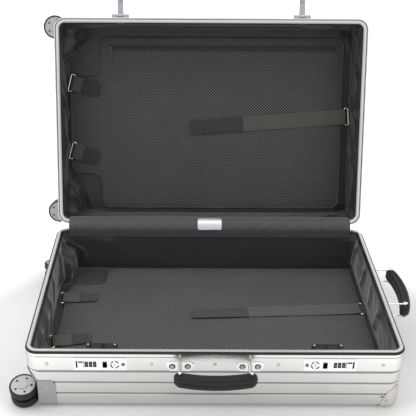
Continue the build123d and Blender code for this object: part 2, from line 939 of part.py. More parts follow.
def make_lock_slider(side):
    """Slide button of a lock, joined to the bolt by a bar behind the dials"""
    plate_back = -half_width + fit_gap
    half = slider_length / 2
    flange_half_height = slider_height / 2 + slider_flange_side / 2
    bar_back = -half_width + lock_case_depth - lock_case_wall - fit_gap
    bar_front = bar_back - slider_bar_thickness
    nose_start = slot_offset + slot_width / 2 + fit_gap
    bar_rise = slider_bar_height / 2
    with BuildPart() as slider:
        add_box(
            (lock_spot(side, slider_offset - half), lock_spot(side, slider_offset + half)),
            (-half_width - plate_thickness - slider_stand, plate_back),
            (lock_z - slider_height / 2, lock_z + slider_height / 2),
        )
        add_box(
            (
                lock_spot(side, slider_offset - half - slider_flange_side),
                lock_spot(side, slider_offset + half + slider_flange_side),
            ),
            (plate_back, plate_back + slider_flange),
            (lock_z - flange_half_height, lock_z + flange_half_height),
        )
        add_box(
            (lock_spot(side, slider_offset - half), lock_spot(side, slider_offset + half)),
            (plate_back, bar_back),
            (lock_z - bar_rise, lock_z + bar_rise),
        )
        add_box(
            (lock_spot(side, nose_start), lock_spot(side, slider_offset + half)),
            (bar_front, bar_back),
            (lock_z - bar_rise, lock_z + bar_rise),
        )
        add_box(
            (lock_spot(side, nose_start), lock_spot(side, nose_start + bolt_nose)),
            (bar_back - bolt_reach, bar_back),
            (lock_z - bar_rise, lock_z + bar_rise),
        )
    return slider.part


def make_dial(side, step):
    """One number wheel of a lock"""
    along = dial_offset + (step - (dial_count - 1) / 2) * dial_pitch
    dial_y = -half_width - plate_thickness - dial_stand + dial_radius
    start = lock_spot(side, along) - dial_width / 2
    with BuildPart() as dial:
        add_rod(Plane.YZ.offset(start), (dial_y, lock_z), dial_radius, dial_width)
        chamfer(edges().filter_by(GeomType.CIRCLE), dial_edge)
        add_rod(
            Plane.YZ.offset(start),
            (dial_y, lock_z),
            dial_axle_radius + running_gap,
            dial_width,
            mode=Mode.SUBTRACT,
        )
    return dial.part


def make_key_cylinder(side):
    """Turning core of a lock, with its keyway"""
    face = Plane.XZ.offset(half_width + plate_thickness + key_ring_height)
    centre = (lock_spot(side, key_offset), lock_z)
    with BuildPart() as cylinder:
        add_rod(face, centre, key_radius, -key_length)
        with BuildSketch(face):
            with Locations(centre):
                Rectangle(key_slot_width, key_radius)
        extrude(amount=-keyway_depth, mode=Mode.SUBTRACT)
    return cylinder.part


def make_hasp_bases():
    """Riveted hinge brackets of the hasps, with their pins, on the lid's front"""
    bases = []
    axis_y = half_width + hasp_axis_stand
    axis_z = lid_depth - hasp_drop
    for side in (-1, 1):
        middle = lock_spot(side, slot_offset)
        left = middle - hasp_base_width / 2
        gap = hasp_arm_width / 2 + fit_gap
        with BuildPart() as base:
            add_box(
                (left, middle + hasp_base_width / 2),
                (half_width, half_width + leaf_thickness),
                (axis_z - hasp_base_below, axis_z + hasp_base_above),
            )
            barrel = hasp_base_width / 2 - gap
            for start in (left, middle + gap):
                add_rod(Plane.YZ.offset(start), (axis_y, axis_z), hasp_barrel_radius, barrel)
                add_box(
                    (start, start + barrel),
                    (half_width, axis_y),
                    (axis_z - hasp_barrel_radius, axis_z + hasp_barrel_radius),
                )
            add_rod(Plane.YZ.offset(left), (axis_y, axis_z), hasp_pin_radius, hasp_base_width)
        bases.append(base.part)
    return Compound(children=bases).moved(lid_place)


def make_hasp(side):
    """Spring hasp, standing out from the lid, with the tongue that the lock catches"""
    middle = lock_spot(side, slot_offset)
    axis_y = half_width + hasp_axis_stand
    axis_z = lid_depth - hasp_drop
    reach = lock_height + hasp_drop
    with BuildPart() as hasp:
        start = middle - hasp_arm_width / 2
        add_rod(Plane.YZ.offset(start), (axis_y, axis_z), hasp_barrel_radius, hasp_arm_width)
        add_box(
            (start, start + hasp_arm_width),
            (axis_y, axis_y + reach + hasp_arm_end),
            (axis_z - hasp_arm_set - hasp_arm_thickness, axis_z - hasp_arm_set),
        )
        add_box(
            (middle - tongue_size / 2, middle + tongue_size / 2),
            (axis_y + reach - tongue_size / 2, axis_y + reach + tongue_size / 2),
            (axis_z - hasp_arm_set, axis_z - hasp_arm_set + tongue_length),
        )
        add_rod(
            Plane.YZ.offset(start),
            (axis_y, axis_z),
            hasp_pin_radius + running_gap,
            hasp_arm_width,
            mode=Mode.SUBTRACT,
        )
    return hasp.part.moved(lid_place)


# Handles are drawn on the front and then set in their places
pivot_y = -half_width - handle_pivot_stand
pin_y = pivot_y - bail_reach
handle_places = {
    "front": in_place,
    "end": Pos(half_length - half_width, end_handle_shift, 0) * Rot(0, 0, 90),
}


def make_handle_plates():
    """Oval plates that carry the wire bails, two for each handle"""
    plates = []
    for place in handle_places.values():
        for side in (-1, 1):
            middle = side * handle_spacing / 2
            knuckle_low = handle_z - handle_knuckle_height / 2
            knuckle_plane = Plane.XY.offset(knuckle_low)
            with BuildPart() as plate:
                with BuildSketch(Plane.XZ.offset(half_width)):
                    with Locations((middle, handle_z)):
                        SlotOverall(handle_plate_length, handle_plate_height)
                extrude(amount=handle_plate_thickness)
                fillet(faces().sort_by(Axis.Y)[0].edges(), handle_plate_thickness / 2)
                add_rod(knuckle_plane, (middle, pivot_y), handle_knuckle_radius, handle_knuckle_height)
                add_rod(
                    knuckle_plane,
                    (middle, pivot_y),
                    bail_wire_radius + running_gap,
                    handle_knuckle_height,
                    mode=Mode.SUBTRACT,
                )
            plates.append(plate.part.moved(place))
    return Compound(children=plates)


def make_bail(side, place):
    """Wire stirrup between a handle plate and the grip"""
    middle = side * handle_spacing / 2
    low = handle_z - bail_height / 2
    high = handle_z + bail_height / 2
    loop = Plane(origin=(middle, 0, 0), x_dir=(0, 1, 0), z_dir=(1, 0, 0))
    with BuildPart() as bail:
        with BuildLine(loop):
            FilletPolyline(
                (pivot_y, handle_z),
                (pivot_y, high),
                (pin_y, high),
                (pin_y, low),
                (pivot_y, low),
                radius=[0] + [bail_corner] * 4,
                close=True,
            )
        with BuildSketch(Plane(origin=(middle, pivot_y, handle_z), z_dir=(0, 0, 1))):
            Circle(bail_wire_radius)
        sweep()
    return bail.part.moved(place)


def make_grip(place):
    """Padded grip, arched away from the case, with holes for the bails"""
    end_x = handle_spacing / 2 + grip_overhang
    end_y = pin_y + grip_end_set
    low = handle_z - grip_height / 2
    with BuildPart() as grip:
        with BuildSketch(Plane.XY.offset(low)):
            with BuildLine():
                ThreePointArc((-end_x, end_y), (0, pin_y - grip_bulge), (end_x, end_y))
            trace(line_width=grip_thickness)
        extrude(amount=grip_height)
        fillet(edges(), grip_edge)
        for side, gap in ((-1, running_gap), (1, bail_loose_gap)):
            add_rod(
                Plane.XY.offset(low),
                (side * handle_spacing / 2, pin_y),
                bail_wire_radius + gap,
                grip_height,
                mode=Mode.SUBTRACT,
            )
    return grip.part.moved(place)


def make_guide_tubes():
    """Fixed guides of the telescopic handle, on a foot under the lining"""
    outer_end = half_length - shell_inset - shell_wall + fit_gap
    start = outer_end - guide_length
    outer_width = guide_width - 2 * running_gap
    outer_height = guide_height - 2 * running_gap
    bore_width = guide_width - 2 * guide_wall
    bore_height = guide_height - 2 * guide_wall
    guides = []
    for side in (-1, 1):
        with BuildPart() as guide:
            with BuildSketch(Plane.YZ.offset(start)):
                with Locations((side * telescope_y, telescope_z)):
                    RectangleRounded(outer_width, outer_height, 2 * guide_wall)
            extrude(amount=guide_length)
            add_box(
                (start, start + guide_foot_length),
                (side * telescope_y - guide_width / 2, side * telescope_y + guide_width / 2),
                (shell_inset + shell_wall + fit_gap, telescope_z),
            )
            with BuildSketch(Plane.YZ.offset(start + guide_wall)):
                with Locations((side * telescope_y, telescope_z)):
                    RectangleRounded(bore_width, bore_height, guide_wall)
            extrude(amount=guide_length, mode=Mode.SUBTRACT)
        guides.append(guide.part)
    return Compound(children=guides)


def make_bezel():
    """Plate round the telescopic handle's openings, on the end wall"""
    face = half_length - shell_inset
    bore_width = guide_width - 2 * guide_wall
    bore_height = guide_height - 2 * guide_wall
    with BuildPart() as bezel:
        with BuildSketch(Plane.YZ.offset(face)):
            with Locations((0, telescope_z + telescope_grip_edge)):
                RectangleRounded(bezel_length, bezel_height, telescope_grip_edge)
            for side in (-1, 1):
                with Locations((side * telescope_y, telescope_z)):
                    RectangleRounded(bore_width, bore_height, guide_wall, mode=Mode.SUBTRACT)
        extrude(amount=bezel_thickness)
    return bezel.part


def make_telescope():
    """Moving tubes, the grip across them and its release button"""
    grip_start = half_length - shell_inset + bezel_thickness + fit_gap
    tube_width = guide_width - 2 * guide_wall - 2 * tube_gap
    tube_height = guide_height - 2 * guide_wall - 2 * tube_gap
    bore_width = tube_width - 2 * guide_wall
    bore_height = tube_height - 2 * guide_wall
    with BuildPart() as tubes:
        for side in (-1, 1):
            with BuildSketch(Plane.YZ.offset(grip_start - tube_length)):
                with Locations((side * telescope_y, telescope_z)):
                    RectangleRounded(tube_width, tube_height, guide_wall)
                    RectangleRounded(bore_width, bore_height, guide_wall / 2, mode=Mode.SUBTRACT)
            extrude(amount=tube_length)
    grip_end = grip_start + telescope_grip_depth
    with BuildPart() as grip:
        with BuildSketch(Plane.YZ.offset(grip_start)):
            with Locations((0, telescope_z)):
                Rectangle(telescope_grip_length, telescope_grip_height)
        extrude(amount=telescope_grip_depth)
        fillet(grip.faces().sort_by(Axis.X)[-1].edges(), telescope_grip_edge)
        with BuildSketch(Plane.YZ.offset(grip_end)):
            with Locations((0, telescope_z)):
                Rectangle(button_length + 2 * tube_gap, button_height + 2 * tube_gap)
        extrude(amount=-button_depth - button_travel, mode=Mode.SUBTRACT)
    with BuildPart() as button:
        with BuildSketch(Plane.YZ.offset(grip_end - button_depth + fit_gap)):
            with Locations((0, telescope_z)):
                RectangleRounded(button_length, button_height, button_height / 5)
        extrude(amount=button_depth + button_stand)
    return tubes.part, grip.part, button.part


def make_zip_slider():
    """Zip slider and its puller, on the lid's divider"""
    level = lid_floor + lining_thickness + fit_gap + divider_thickness + fit_gap
    with BuildPart() as slider:
        add_box(
            (zip_x - zip_body_length / 2, zip_x + zip_body_length / 2),
            (zip_y - zip_body_width / 2, zip_y + zip_body_width / 2),
            (level, level + zip_body_height),
        )
        add_box(
            (zip_x - zip_pull_width / 2, zip_x + zip_pull_width / 2),
            (zip_y - zip_pull_length, zip_y),
            (level + zip_body_height / 2, level + zip_body_height / 2 + zip_pull_thickness),
        )
    return slider.part.moved(lid_place)


def rivet(plane, centre, radius=rivet_radius, height=rivet_height):
    """One domed rivet or screw head on a face"""
    with BuildPart() as head:
        add_rod(plane, centre, radius, height)
        circles = edges().filter_by(GeomType.CIRCLE)
        fillet(circles.sort_by_distance(plane.origin)[-1:], rivet_edge)
    return head.part


def wall_rivets(depth, skip):
    """Rivets along the frame's front and ends, on a half drawn outside down"""
    level = depth - rivet_line_drop
    heads = []
    front = Plane.XZ.offset(half_width)
    outer_x = half_length - front_rivet_inset
    for x in (-outer_x, -front_rivet_spacing, 0, front_rivet_spacing, outer_x):
        heads.append(rivet(front, (x, level)))
    outer_y = half_width - end_rivet_inset
    for end in (1, -1):
        end_plane = Plane(origin=(end * half_length, 0, 0), x_dir=(0, end, 0), z_dir=(end, 0, 0))
        inner_row = () if end > 0 and skip else (-end_rivet_spacing, end_rivet_spacing)
        for y in (-outer_y, *inner_row, outer_y):
            heads.append(rivet(end_plane, (end * y, level)))
    return heads


def corner_rivets():
    """Rivets of the wheel housings and the pressed caps"""
    heads = []
    housing_x = -half_length + housing_length - housing_chamfer - rivet_margin
    housing_level = housing_height - housing_chamfer - rivet_margin
    cap_x = half_length - cap_step_one[0]
    cap_level = cap_step_one[1]
    for side in (-1, 1):
        face = Plane(origin=(0, side * half_width, 0), x_dir=(1, 0, 0), z_dir=(0, side, 0))
        heads.append(rivet(face, (housing_x, -side * housing_level)))
        heads.append(rivet(face, (cap_x + rivet_margin, -side * (cap_level - rivet_radius))))
    return heads


def make_base_fasteners():
    """Rivets and screws of the base half"""
    heads = wall_rivets(base_depth, True) + corner_rivets()
    for place in handle_places.values():
        plate_face = Plane.XZ.offset(half_width + handle_plate_thickness)
        for side in (-1, 1):
            for end in (-1, 1):
                x = side * handle_spacing / 2 + end * handle_screw_spacing / 2
                head = rivet(plate_face, (x, handle_z), handle_screw_radius, handle_screw_height)
                heads.append(head.moved(place))
    rear = Plane(origin=(0, half_width + leaf_thickness, 0), x_dir=(-1, 0, 0), z_dir=(0, 1, 0))
    count = int(hinge_length / hinge_rivet_pitch)
    for step in range(count):
        x = (step - (count - 1) / 2) * hinge_rivet_pitch
        heads.append(rivet(rear, (x, base_depth - leaf_height / 2)))
    return Compound(children=heads)


def make_lid_fasteners():
    """Rivets of the lid half"""
    heads = [head.moved(Rot(0, 0, 180)) for head in wall_rivets(lid_depth, False)]
    heads += corner_rivets()
    rear = Plane.XZ.offset(half_width + leaf_thickness)
    count = int(hinge_length / hinge_rivet_pitch)
    for step in range(count):
        x = (step - (count - 1) / 2) * hinge_rivet_pitch
        heads.append(rivet(rear, (x, lid_depth - leaf_height / 2)))
    return Compound(children=[head.moved(lid_place) for head in heads])


# Base half
save(make_shell(base_depth, in_place), "base_shell")
save(make_base_frame(), "base_frame")
save(make_gasket(), "base_gasket")
save(make_lining(base_depth, base_floor, in_place), "base_lining")
save(make_divider(base_pad_insets, base_tab_insets, base_floor, in_place), "base_divider")
base_strap_level = base_floor + lining_thickness + divider_thickness + 2 * fit_gap
base_runs = strap_runs(base_strap_spans)
save(make_straps(base_runs, base_strap_level, in_place), "base_straps")
save(make_rings(base_runs, base_strap_level, in_place), "base_strap_rings")
save(make_caps(in_place), "base_corner_caps")
save(make_housings(base_depth, in_place), "base_wheel_housings")
save(make_base_fasteners(), "base_fasteners")

# Lid half
save(make_shell(lid_depth, lid_place), "lid_shell")
save(make_lid_frame(), "lid_frame")
save(make_lining(lid_depth, lid_floor, lid_place), "lid_lining")
save(make_divider(lid_pad_insets, lid_tab_insets, lid_floor, lid_place), "lid_divider")
lid_strap_level = lid_floor + lining_thickness + divider_thickness + 2 * fit_gap
lid_runs = strap_runs(lid_strap_spans)
save(make_straps(lid_runs, lid_strap_level, lid_place), "lid_straps")
save(make_rings(lid_runs, lid_strap_level, lid_place), "lid_strap_rings")
save(make_caps(lid_place), "lid_corner_caps")
save(make_housings(lid_depth, lid_place), "lid_wheel_housings")
save(make_lid_fasteners(), "lid_fasteners")
save(make_zip_slider(), "lid_zip_slider")

# Hinge
save(make_hinge_leaf(-1), "hinge_leaf_base")
lid_turn = Pos(0, hinge_y, base_depth) * Rot(-open_angle, 0, 0) * Pos(0, -hinge_y, -base_depth)
save(make_hinge_leaf(1).moved(lid_turn), "hinge_leaf_lid")
with BuildPart() as hinge_pin:
    add_rod(Plane.YZ.offset(-hinge_length / 2), (hinge_y, base_depth), hinge_pin_radius, hinge_length)
save(hinge_pin.part, "hinge_pin")
save(make_cover_strip(), "hinge_cover_strip")

# Locks and hasps
save(make_lock_plates(), "lock_plates")
save(make_lock_cases(), "lock_cases")
save(make_hasp_bases(), "hasp_bases")
for side, hand in ((-1, "left"), (1, "right")):
    save(make_lock_slider(side), f"lock_slider_{hand}")
    save(make_key_cylinder(side), f"key_cylinder_{hand}")
    save(make_hasp(side), f"hasp_{hand}")
    for step in range(dial_count):
        save(make_dial(side, step), f"dial_{hand}_{step + 1}")

# Carrying handles
save(make_handle_plates(), "handle_plates")
for name, hands in (("front", ("left", "right")), ("end", ("front", "rear"))):
    place = handle_places[name]
    save(make_bail(-1, place), f"{name}_handle_bail_{hands[0]}")
    save(make_bail(1, place), f"{name}_handle_bail_{hands[1]}")
    save(make_grip(place), f"{name}_handle_grip")

# Telescopic handle
save(make_guide_tubes(), "telescope_guide_tubes")
save(make_bezel(), "telescope_bezel")
telescope_tubes, telescope_grip, telescope_button = make_telescope()
save(telescope_tubes, "telescope_tubes")
save(telescope_grip, "telescope_grip")
save(telescope_button, "telescope_button")

# Castors, at the two corners of the wheel end of each half
wheel_corners = (
    ("base_front", -1, base_wheel_droop, in_place),
    ("base_rear", 1, base_wheel_droop, in_place),
    ("lid_front", 1, 0.0, lid_place),
    ("lid_rear", -1, 0.0, lid_place),
)
for corner, side, droop, place in wheel_corners:
    fork, wheels = make_wheel_set(side, droop, place)
    save(fork, f"{corner}_fork")
    save(wheels, f"{corner}_wheels")
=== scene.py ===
"""Looks of an open aluminium suitcase: cloth, leather, mesh pads, webbing, small trim and finishes."""

import math

import bmesh
import bpy
from mathutils import Matrix, Vector, noise


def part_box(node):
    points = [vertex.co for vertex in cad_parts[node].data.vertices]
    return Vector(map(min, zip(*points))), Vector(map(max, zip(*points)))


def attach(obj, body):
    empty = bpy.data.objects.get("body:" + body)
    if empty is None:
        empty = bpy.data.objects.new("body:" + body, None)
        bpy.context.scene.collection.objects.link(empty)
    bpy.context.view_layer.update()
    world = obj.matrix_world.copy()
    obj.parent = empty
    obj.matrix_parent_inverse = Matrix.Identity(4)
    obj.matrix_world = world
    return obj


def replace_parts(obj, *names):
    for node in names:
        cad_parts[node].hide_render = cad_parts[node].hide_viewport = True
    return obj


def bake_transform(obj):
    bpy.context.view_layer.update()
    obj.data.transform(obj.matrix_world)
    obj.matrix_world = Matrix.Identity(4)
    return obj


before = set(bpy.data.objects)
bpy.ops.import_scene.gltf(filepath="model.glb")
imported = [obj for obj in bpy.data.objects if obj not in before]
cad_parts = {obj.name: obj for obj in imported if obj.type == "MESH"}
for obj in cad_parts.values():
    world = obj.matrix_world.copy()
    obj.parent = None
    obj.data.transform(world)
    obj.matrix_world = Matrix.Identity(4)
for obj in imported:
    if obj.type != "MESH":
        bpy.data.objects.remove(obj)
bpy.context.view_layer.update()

# Sizes of the case, in metres, as its solids have them
HALF_LENGTH = 0.370
HALF_WIDTH = 0.245
CASE_CORNER = 0.026
BASE_DEPTH = 0.136
LID_DEPTH = 0.134
HINGE = Vector((0, 0.253, BASE_DEPTH))
OPEN_ANGLE = math.radians(109)
LINING_FACE = 0.0131
LINING_CORNER = 0.0125
PAD_CORNER = 0.022
PAD_THICKNESS = 0.0056
MESH_CELL = 0.020
LID = (
    Matrix.Translation(HINGE)
    @ Matrix.Rotation(-OPEN_ANGLE, 4, "X")
    @ Matrix.Translation(-HINGE)
    @ Matrix.Translation((0, 0, BASE_DEPTH + LID_DEPTH))
    @ Matrix.Rotation(math.pi, 4, "X")
)
BASE = Matrix.Identity(4)


# Working by hand: selection, edit mode and finishing

def only(piece):
    """Makes one piece the only selected and active one"""
    if bpy.context.object and bpy.context.object.mode != "OBJECT":
        bpy.ops.object.mode_set(mode="OBJECT")
    bpy.ops.object.select_all(action="DESELECT")
    piece.select_set(True)
    bpy.context.view_layer.objects.active = piece


def new_piece(name):
    """Names the piece that was just made and settles its place in its mesh"""
    piece = bpy.context.object
    piece.name = piece.data.name = name
    bpy.ops.object.transform_apply(location=True, rotation=True, scale=True)
    return piece


def add_block(name, low, high):
    """A block between two corners, as a start for a piece"""
    bpy.ops.object.select_all(action="DESELECT")
    centre = [(a + b) / 2 for a, b in zip(low, high)]
    size = [b - a for a, b in zip(low, high)]
    bpy.ops.mesh.primitive_cube_add(size=1, location=centre, scale=size)
    return new_piece(name)


def add_grid(name, low, high, columns, rows, level):
    """A flat net between two corners, as a start for cloth"""
    bpy.ops.object.select_all(action="DESELECT")
    bpy.ops.mesh.primitive_grid_add(
        x_subdivisions=columns,
        y_subdivisions=rows,
        size=1,
        location=((low[0] + high[0]) / 2, (low[1] + high[1]) / 2, level),
    )
    bpy.context.object.scale = (high[0] - low[0], high[1] - low[1], 1)
    return new_piece(name)


def edit(piece, mode="FACE"):
    only(piece)
    bpy.ops.object.mode_set(mode="EDIT")
    bpy.ops.mesh.select_mode(type=mode)


def done():
    bpy.ops.object.mode_set(mode="OBJECT")


def select_all():
    bpy.ops.mesh.select_all(action="SELECT")


def cut(place, way):
    """Divides the whole piece in edit mode along a plane"""
    select_all()
    bpy.ops.mesh.bisect(plane_co=place, plane_no=way)


def turn_outwards():
    select_all()
    bpy.ops.mesh.normals_make_consistent(inside=False)


def thicken(way):
    """Extrudes the whole net in edit mode along way"""
    select_all()
    bpy.ops.mesh.extrude_region_move(TRANSFORM_OT_translate={"value": way})


def pick(piece, kind, test):
    """Selects the faces, edges or points of the piece in edit mode that pass a test"""
    bm = bmesh.from_edit_mesh(piece.data)
    for item in list(bm.faces) + list(bm.edges) + list(bm.verts):
        item.select = False
    for item in getattr(bm, kind):
        if test(item):
            item.select_set(True)
    bm.select_flush_mode()
    bmesh.update_edit_mesh(piece.data)


def shape(piece, move):
    """Moves each point of a piece to where move puts it"""
    for point in piece.data.vertices:
        point.co = move(point.co.copy())
    piece.data.update()


def modify(piece, kind, **settings):
    only(piece)
    modifier = piece.modifiers.new(kind.lower(), kind)
    for name, value in settings.items():
        setattr(modifier, name, value)
    bpy.ops.object.modifier_apply(modifier=modifier.name)


def smooth(piece, angle=None):
    only(piece)
    if angle is None:
        bpy.ops.object.shade_smooth()
    else:
        bpy.ops.object.shade_smooth_by_angle(angle=math.radians(angle))


def join(pieces, name):
    """Makes one piece of several, which takes the given name"""
    bpy.ops.object.select_all(action="DESELECT")
    for piece in pieces:
        piece.select_set(True)
    bpy.context.view_layer.objects.active = pieces[0]
    bpy.ops.object.join()
    return new_piece(name)


def settle(piece, place):
    """Puts a finished piece in its half of the case, with its place in its mesh"""
    only(piece)
    piece.matrix_world = place
    bpy.ops.object.transform_apply(location=True, rotation=True, scale=True)
    return piece


def finish_in(piece, *materials):
    piece.data.materials.clear()
    for material in materials:
        piece.data.materials.append(material)


def ramp(value, low, high):
    """Smooth step from 0 at low to 1 at high"""
    t = min(1.0, max(0.0, (value - low) / (high - low)))
    return t * t * (3 - 2 * t)


# Shader groups that several finishes share

def new_group(name, inputs, outputs):
    """An empty shader group with named inputs and outputs, and its two end nodes"""
    group = bpy.data.node_groups.new(name, "ShaderNodeTree")
    for label, kind, value in inputs:
        socket = group.interface.new_socket(label, in_out="INPUT", socket_type=kind)
        socket.default_value = value
    for label, kind in outputs:
        group.interface.new_socket(label, in_out="OUTPUT", socket_type=kind)
    entry = group.nodes.new("NodeGroupInput")
    leave = group.nodes.new("NodeGroupOutput")
    return group, entry, leave


def feed(tree, socket, value):
    """Links a socket to another one, or sets its value"""
    if isinstance(value, bpy.types.NodeSocket):
        tree.links.new(value, socket)
    else:
        socket.default_value = value


def node(tree, kind, inputs=(), **settings):
    """A new node with its settings and its inputs, by name or number"""
    made = tree.nodes.new(kind)
    for name, value in settings.items():
        setattr(made, name, value)
    for name, value in dict(inputs).items():
        feed(tree, made.inputs[name], value)
    return made


def maths(tree, operation, *values):
    return node(tree, "ShaderNodeMath", dict(enumerate(values)), operation=operation).outputs[0]


def vector_maths(tree, operation, *values):
    """Result of a Vector Math node: a number where the operation gives one"""
    made = node(tree, "ShaderNodeVectorMath", dict(enumerate(values)), operation=operation)
    return made.outputs["Value" if operation in ("LENGTH", "DOT_PRODUCT") else "Vector"]


def parts_of(tree, vector):
    return node(tree, "ShaderNodeSeparateXYZ", {0: vector}).outputs


def clouds(tree, place, scale, detail, **more):
    """Soft noise, from 0 to 1"""
    inputs = {"Vector": place, "Scale": scale, "Detail": detail, **more}
    return node(tree, "ShaderNodeTexNoise", inputs).outputs[0]


def remap(tree, value, low, high, start=0.0, end=1.0):
    """Brings low to high on to start to end, and stops there"""
    return node(tree, "ShaderNodeMapRange", {
        "Value": value, "From Min": low, "From Max": high, "To Min": start, "To Max": end}).outputs[0]


def make_grain_group():
    """Fine drawn grain, long in one direction, with faint broad unevenness"""
    group, entry, leave = new_group(
        "drawn_grain",
        [("Vector", "NodeSocketVector", (0, 0, 0)), ("Stretch", "NodeSocketVector", (1, 1, 1)),
         ("Low", "NodeSocketFloat", 0.25), ("High", "NodeSocketFloat", 0.4)],
        [("Roughness", "NodeSocketFloat"), ("Height", "NodeSocketFloat"), ("Tone", "NodeSocketFloat")],
    )
    stretched = vector_maths(group, "MULTIPLY", entry.outputs["Vector"], entry.outputs["Stretch"])
    fine = clouds(group, stretched, 900.0, 3.0)
    broad = clouds(group, entry.outputs["Vector"], 9.0, 4.0)
    mixed = maths(group, "ADD", maths(group, "MULTIPLY", fine, 0.45), maths(group, "MULTIPLY", broad, 0.55))
    spread = remap(group, mixed, 0.3, 0.7, entry.outputs["Low"], entry.outputs["High"])
    group.links.new(spread, leave.inputs["Roughness"])
    group.links.new(fine, leave.inputs["Height"])
    group.links.new(mixed, leave.inputs["Tone"])
    return group


def make_wear_group():
    """Scuffs and rubbed spots: a mask of small broken patches"""
    group, entry, leave = new_group(
        "rubbed_spots",
        [("Vector", "NodeSocketVector", (0, 0, 0)), ("Scale", "NodeSocketFloat", 60.0),
         ("Amount", "NodeSocketFloat", 0.35)],
        [("Mask", "NodeSocketFloat")],
    )
    cloud = clouds(group, entry.outputs["Vector"], entry.outputs["Scale"], 6.0, Roughness=0.7)
    low = maths(group, "SUBTRACT", 0.8, maths(group, "MULTIPLY", entry.outputs["Amount"], 0.4))
    group.links.new(remap(group, cloud, low, maths(group, "ADD", low, 0.12)), leave.inputs["Mask"])
    return group


def make_lattice_group():
    """Rows of holes that are staggered like a spacer mesh, and the threads between them"""
    group, entry, leave = new_group(
        "mesh_lattice",
        [("Vector", "NodeSocketVector", (0, 0, 0)), ("Pitch", "NodeSocketVector", (0.0081, 0.0071, 1))],
        [("Hole", "NodeSocketFloat"), ("Height", "NodeSocketFloat")],
    )
    cells = parts_of(group, vector_maths(group, "DIVIDE", entry.outputs["Vector"], entry.outputs["Pitch"]))
    across = maths(group, "COSINE", maths(group, "MULTIPLY", cells[0], 2 * math.pi))
    along = maths(group, "COSINE", maths(group, "MULTIPLY", cells[1], 2 * math.pi))
    hole = remap(group, maths(group, "MULTIPLY", across, along), -0.22, 0.0)
    group.links.new(hole, leave.inputs["Hole"])
    group.links.new(maths(group, "SUBTRACT", 1.0, hole), leave.inputs["Height"])
    return group


def make_weave_group():
    """Plain close weave from two crossing sets of threads"""
    group, entry, leave = new_group(
        "close_weave",
        [("Vector", "NodeSocketVector", (0, 0, 0)), ("Pitch", "NodeSocketFloat", 0.0008)],
        [("Height", "NodeSocketFloat")],
    )
    across, along, up = parts_of(group, entry.outputs["Vector"])
    turn = maths(group, "DIVIDE", 2 * math.pi, entry.outputs["Pitch"])
    warp = maths(group, "SINE", maths(group, "MULTIPLY", across, turn))
    weft = maths(group, "SINE", maths(group, "MULTIPLY", maths(group, "ADD", along, up), turn))
    group.links.new(maths(group, "MULTIPLY", warp, weft), leave.inputs["Height"])
    return group


def make_line_group():
    """Dark line along one level, for the shade and dirt in a groove"""
    group, entry, leave = new_group(
        "groove_shade",
        [("Level", "NodeSocketFloat", 0.0), ("Centre", "NodeSocketFloat", 0.0),
         ("Half", "NodeSocketFloat", 0.0016)],
        [("Mask", "NodeSocketFloat")],
    )
    away = maths(group, "ABSOLUTE", maths(group, "SUBTRACT", entry.outputs["Level"], entry.outputs["Centre"]))
    share = maths(group, "DIVIDE", away, entry.outputs["Half"])
    group.links.new(remap(group, share, 1.0, 0.55), leave.inputs["Mask"])
    return group


def make_rim_group():
    """How far a place lies in from the case's outer wall, following its rounded corners"""
    group, entry, leave = new_group(
        "rim_inset", [("Vector", "NodeSocketVector", (0, 0, 0))], [("Inset", "NodeSocketFloat")])
    away = vector_maths(group, "ABSOLUTE", entry.outputs["Vector"])
    far_above = 9
    core = (HALF_LENGTH - CASE_CORNER, HALF_WIDTH - CASE_CORNER, far_above)
    past = vector_maths(group, "MAXIMUM", vector_maths(group, "SUBTRACT", away, core), (0, 0, 0))
    reach = vector_maths(group, "LENGTH", past)
    group.links.new(maths(group, "SUBTRACT", CASE_CORNER, reach), leave.inputs["Inset"])
    return group


grain = make_grain_group()
groove = make_line_group()
rim = make_rim_group()
rubbed = make_wear_group()
lattice = make_lattice_group()
weave = make_weave_group()


# Finishes

def start_finish(name, turned=False):
    """An empty material with its shader and coordinates; turned ones lie in the lid's own frame"""
    material = bpy.data.materials.new(name)
    material.use_nodes = True
    tree = material.node_tree
    shader = tree.nodes["Principled BSDF"]
    place = node(tree, "ShaderNodeTexCoord").outputs["Object"]
    if turned:
        back = LID.inverted()
        place = node(tree, "ShaderNodeMapping", {
            "Vector": place, "Location": back.translation, "Rotation": back.to_euler()}).outputs[0]
    return material, tree, shader, place


def use_group(tree, group, inputs):
    return node(tree, "ShaderNodeGroup", inputs, node_tree=group)


def bump(tree, shader, height, strength, distance):
    made = node(tree, "ShaderNodeBump", {"Height": height, "Strength": strength, "Distance": distance})
    tree.links.new(made.outputs[0], shader.inputs["Normal"])


def mix_colour(tree, mask, first, second):
    """Goes from the first colour to the second where the mask goes from 0 to 1"""
    made = node(tree, "ShaderNodeMix", data_type="RGBA")
    for number, value in ((0, mask), (6, first), (7, second)):
        plain = isinstance(value, (float, bpy.types.NodeSocket))
        feed(tree, made.inputs[number], value if plain else (*value, 1))
    return made.outputs[2]


def tint(colour, share):
    """A colour made darker or lighter, but no lighter than white"""
    return [min(1, c * share) for c in colour]


def shades(tree, mask, colour, dark, light):
    """A colour that goes from dark times to light times itself as the mask goes from 0 to 1"""
    return mix_colour(tree, mask, tint(colour, dark), tint(colour, light))


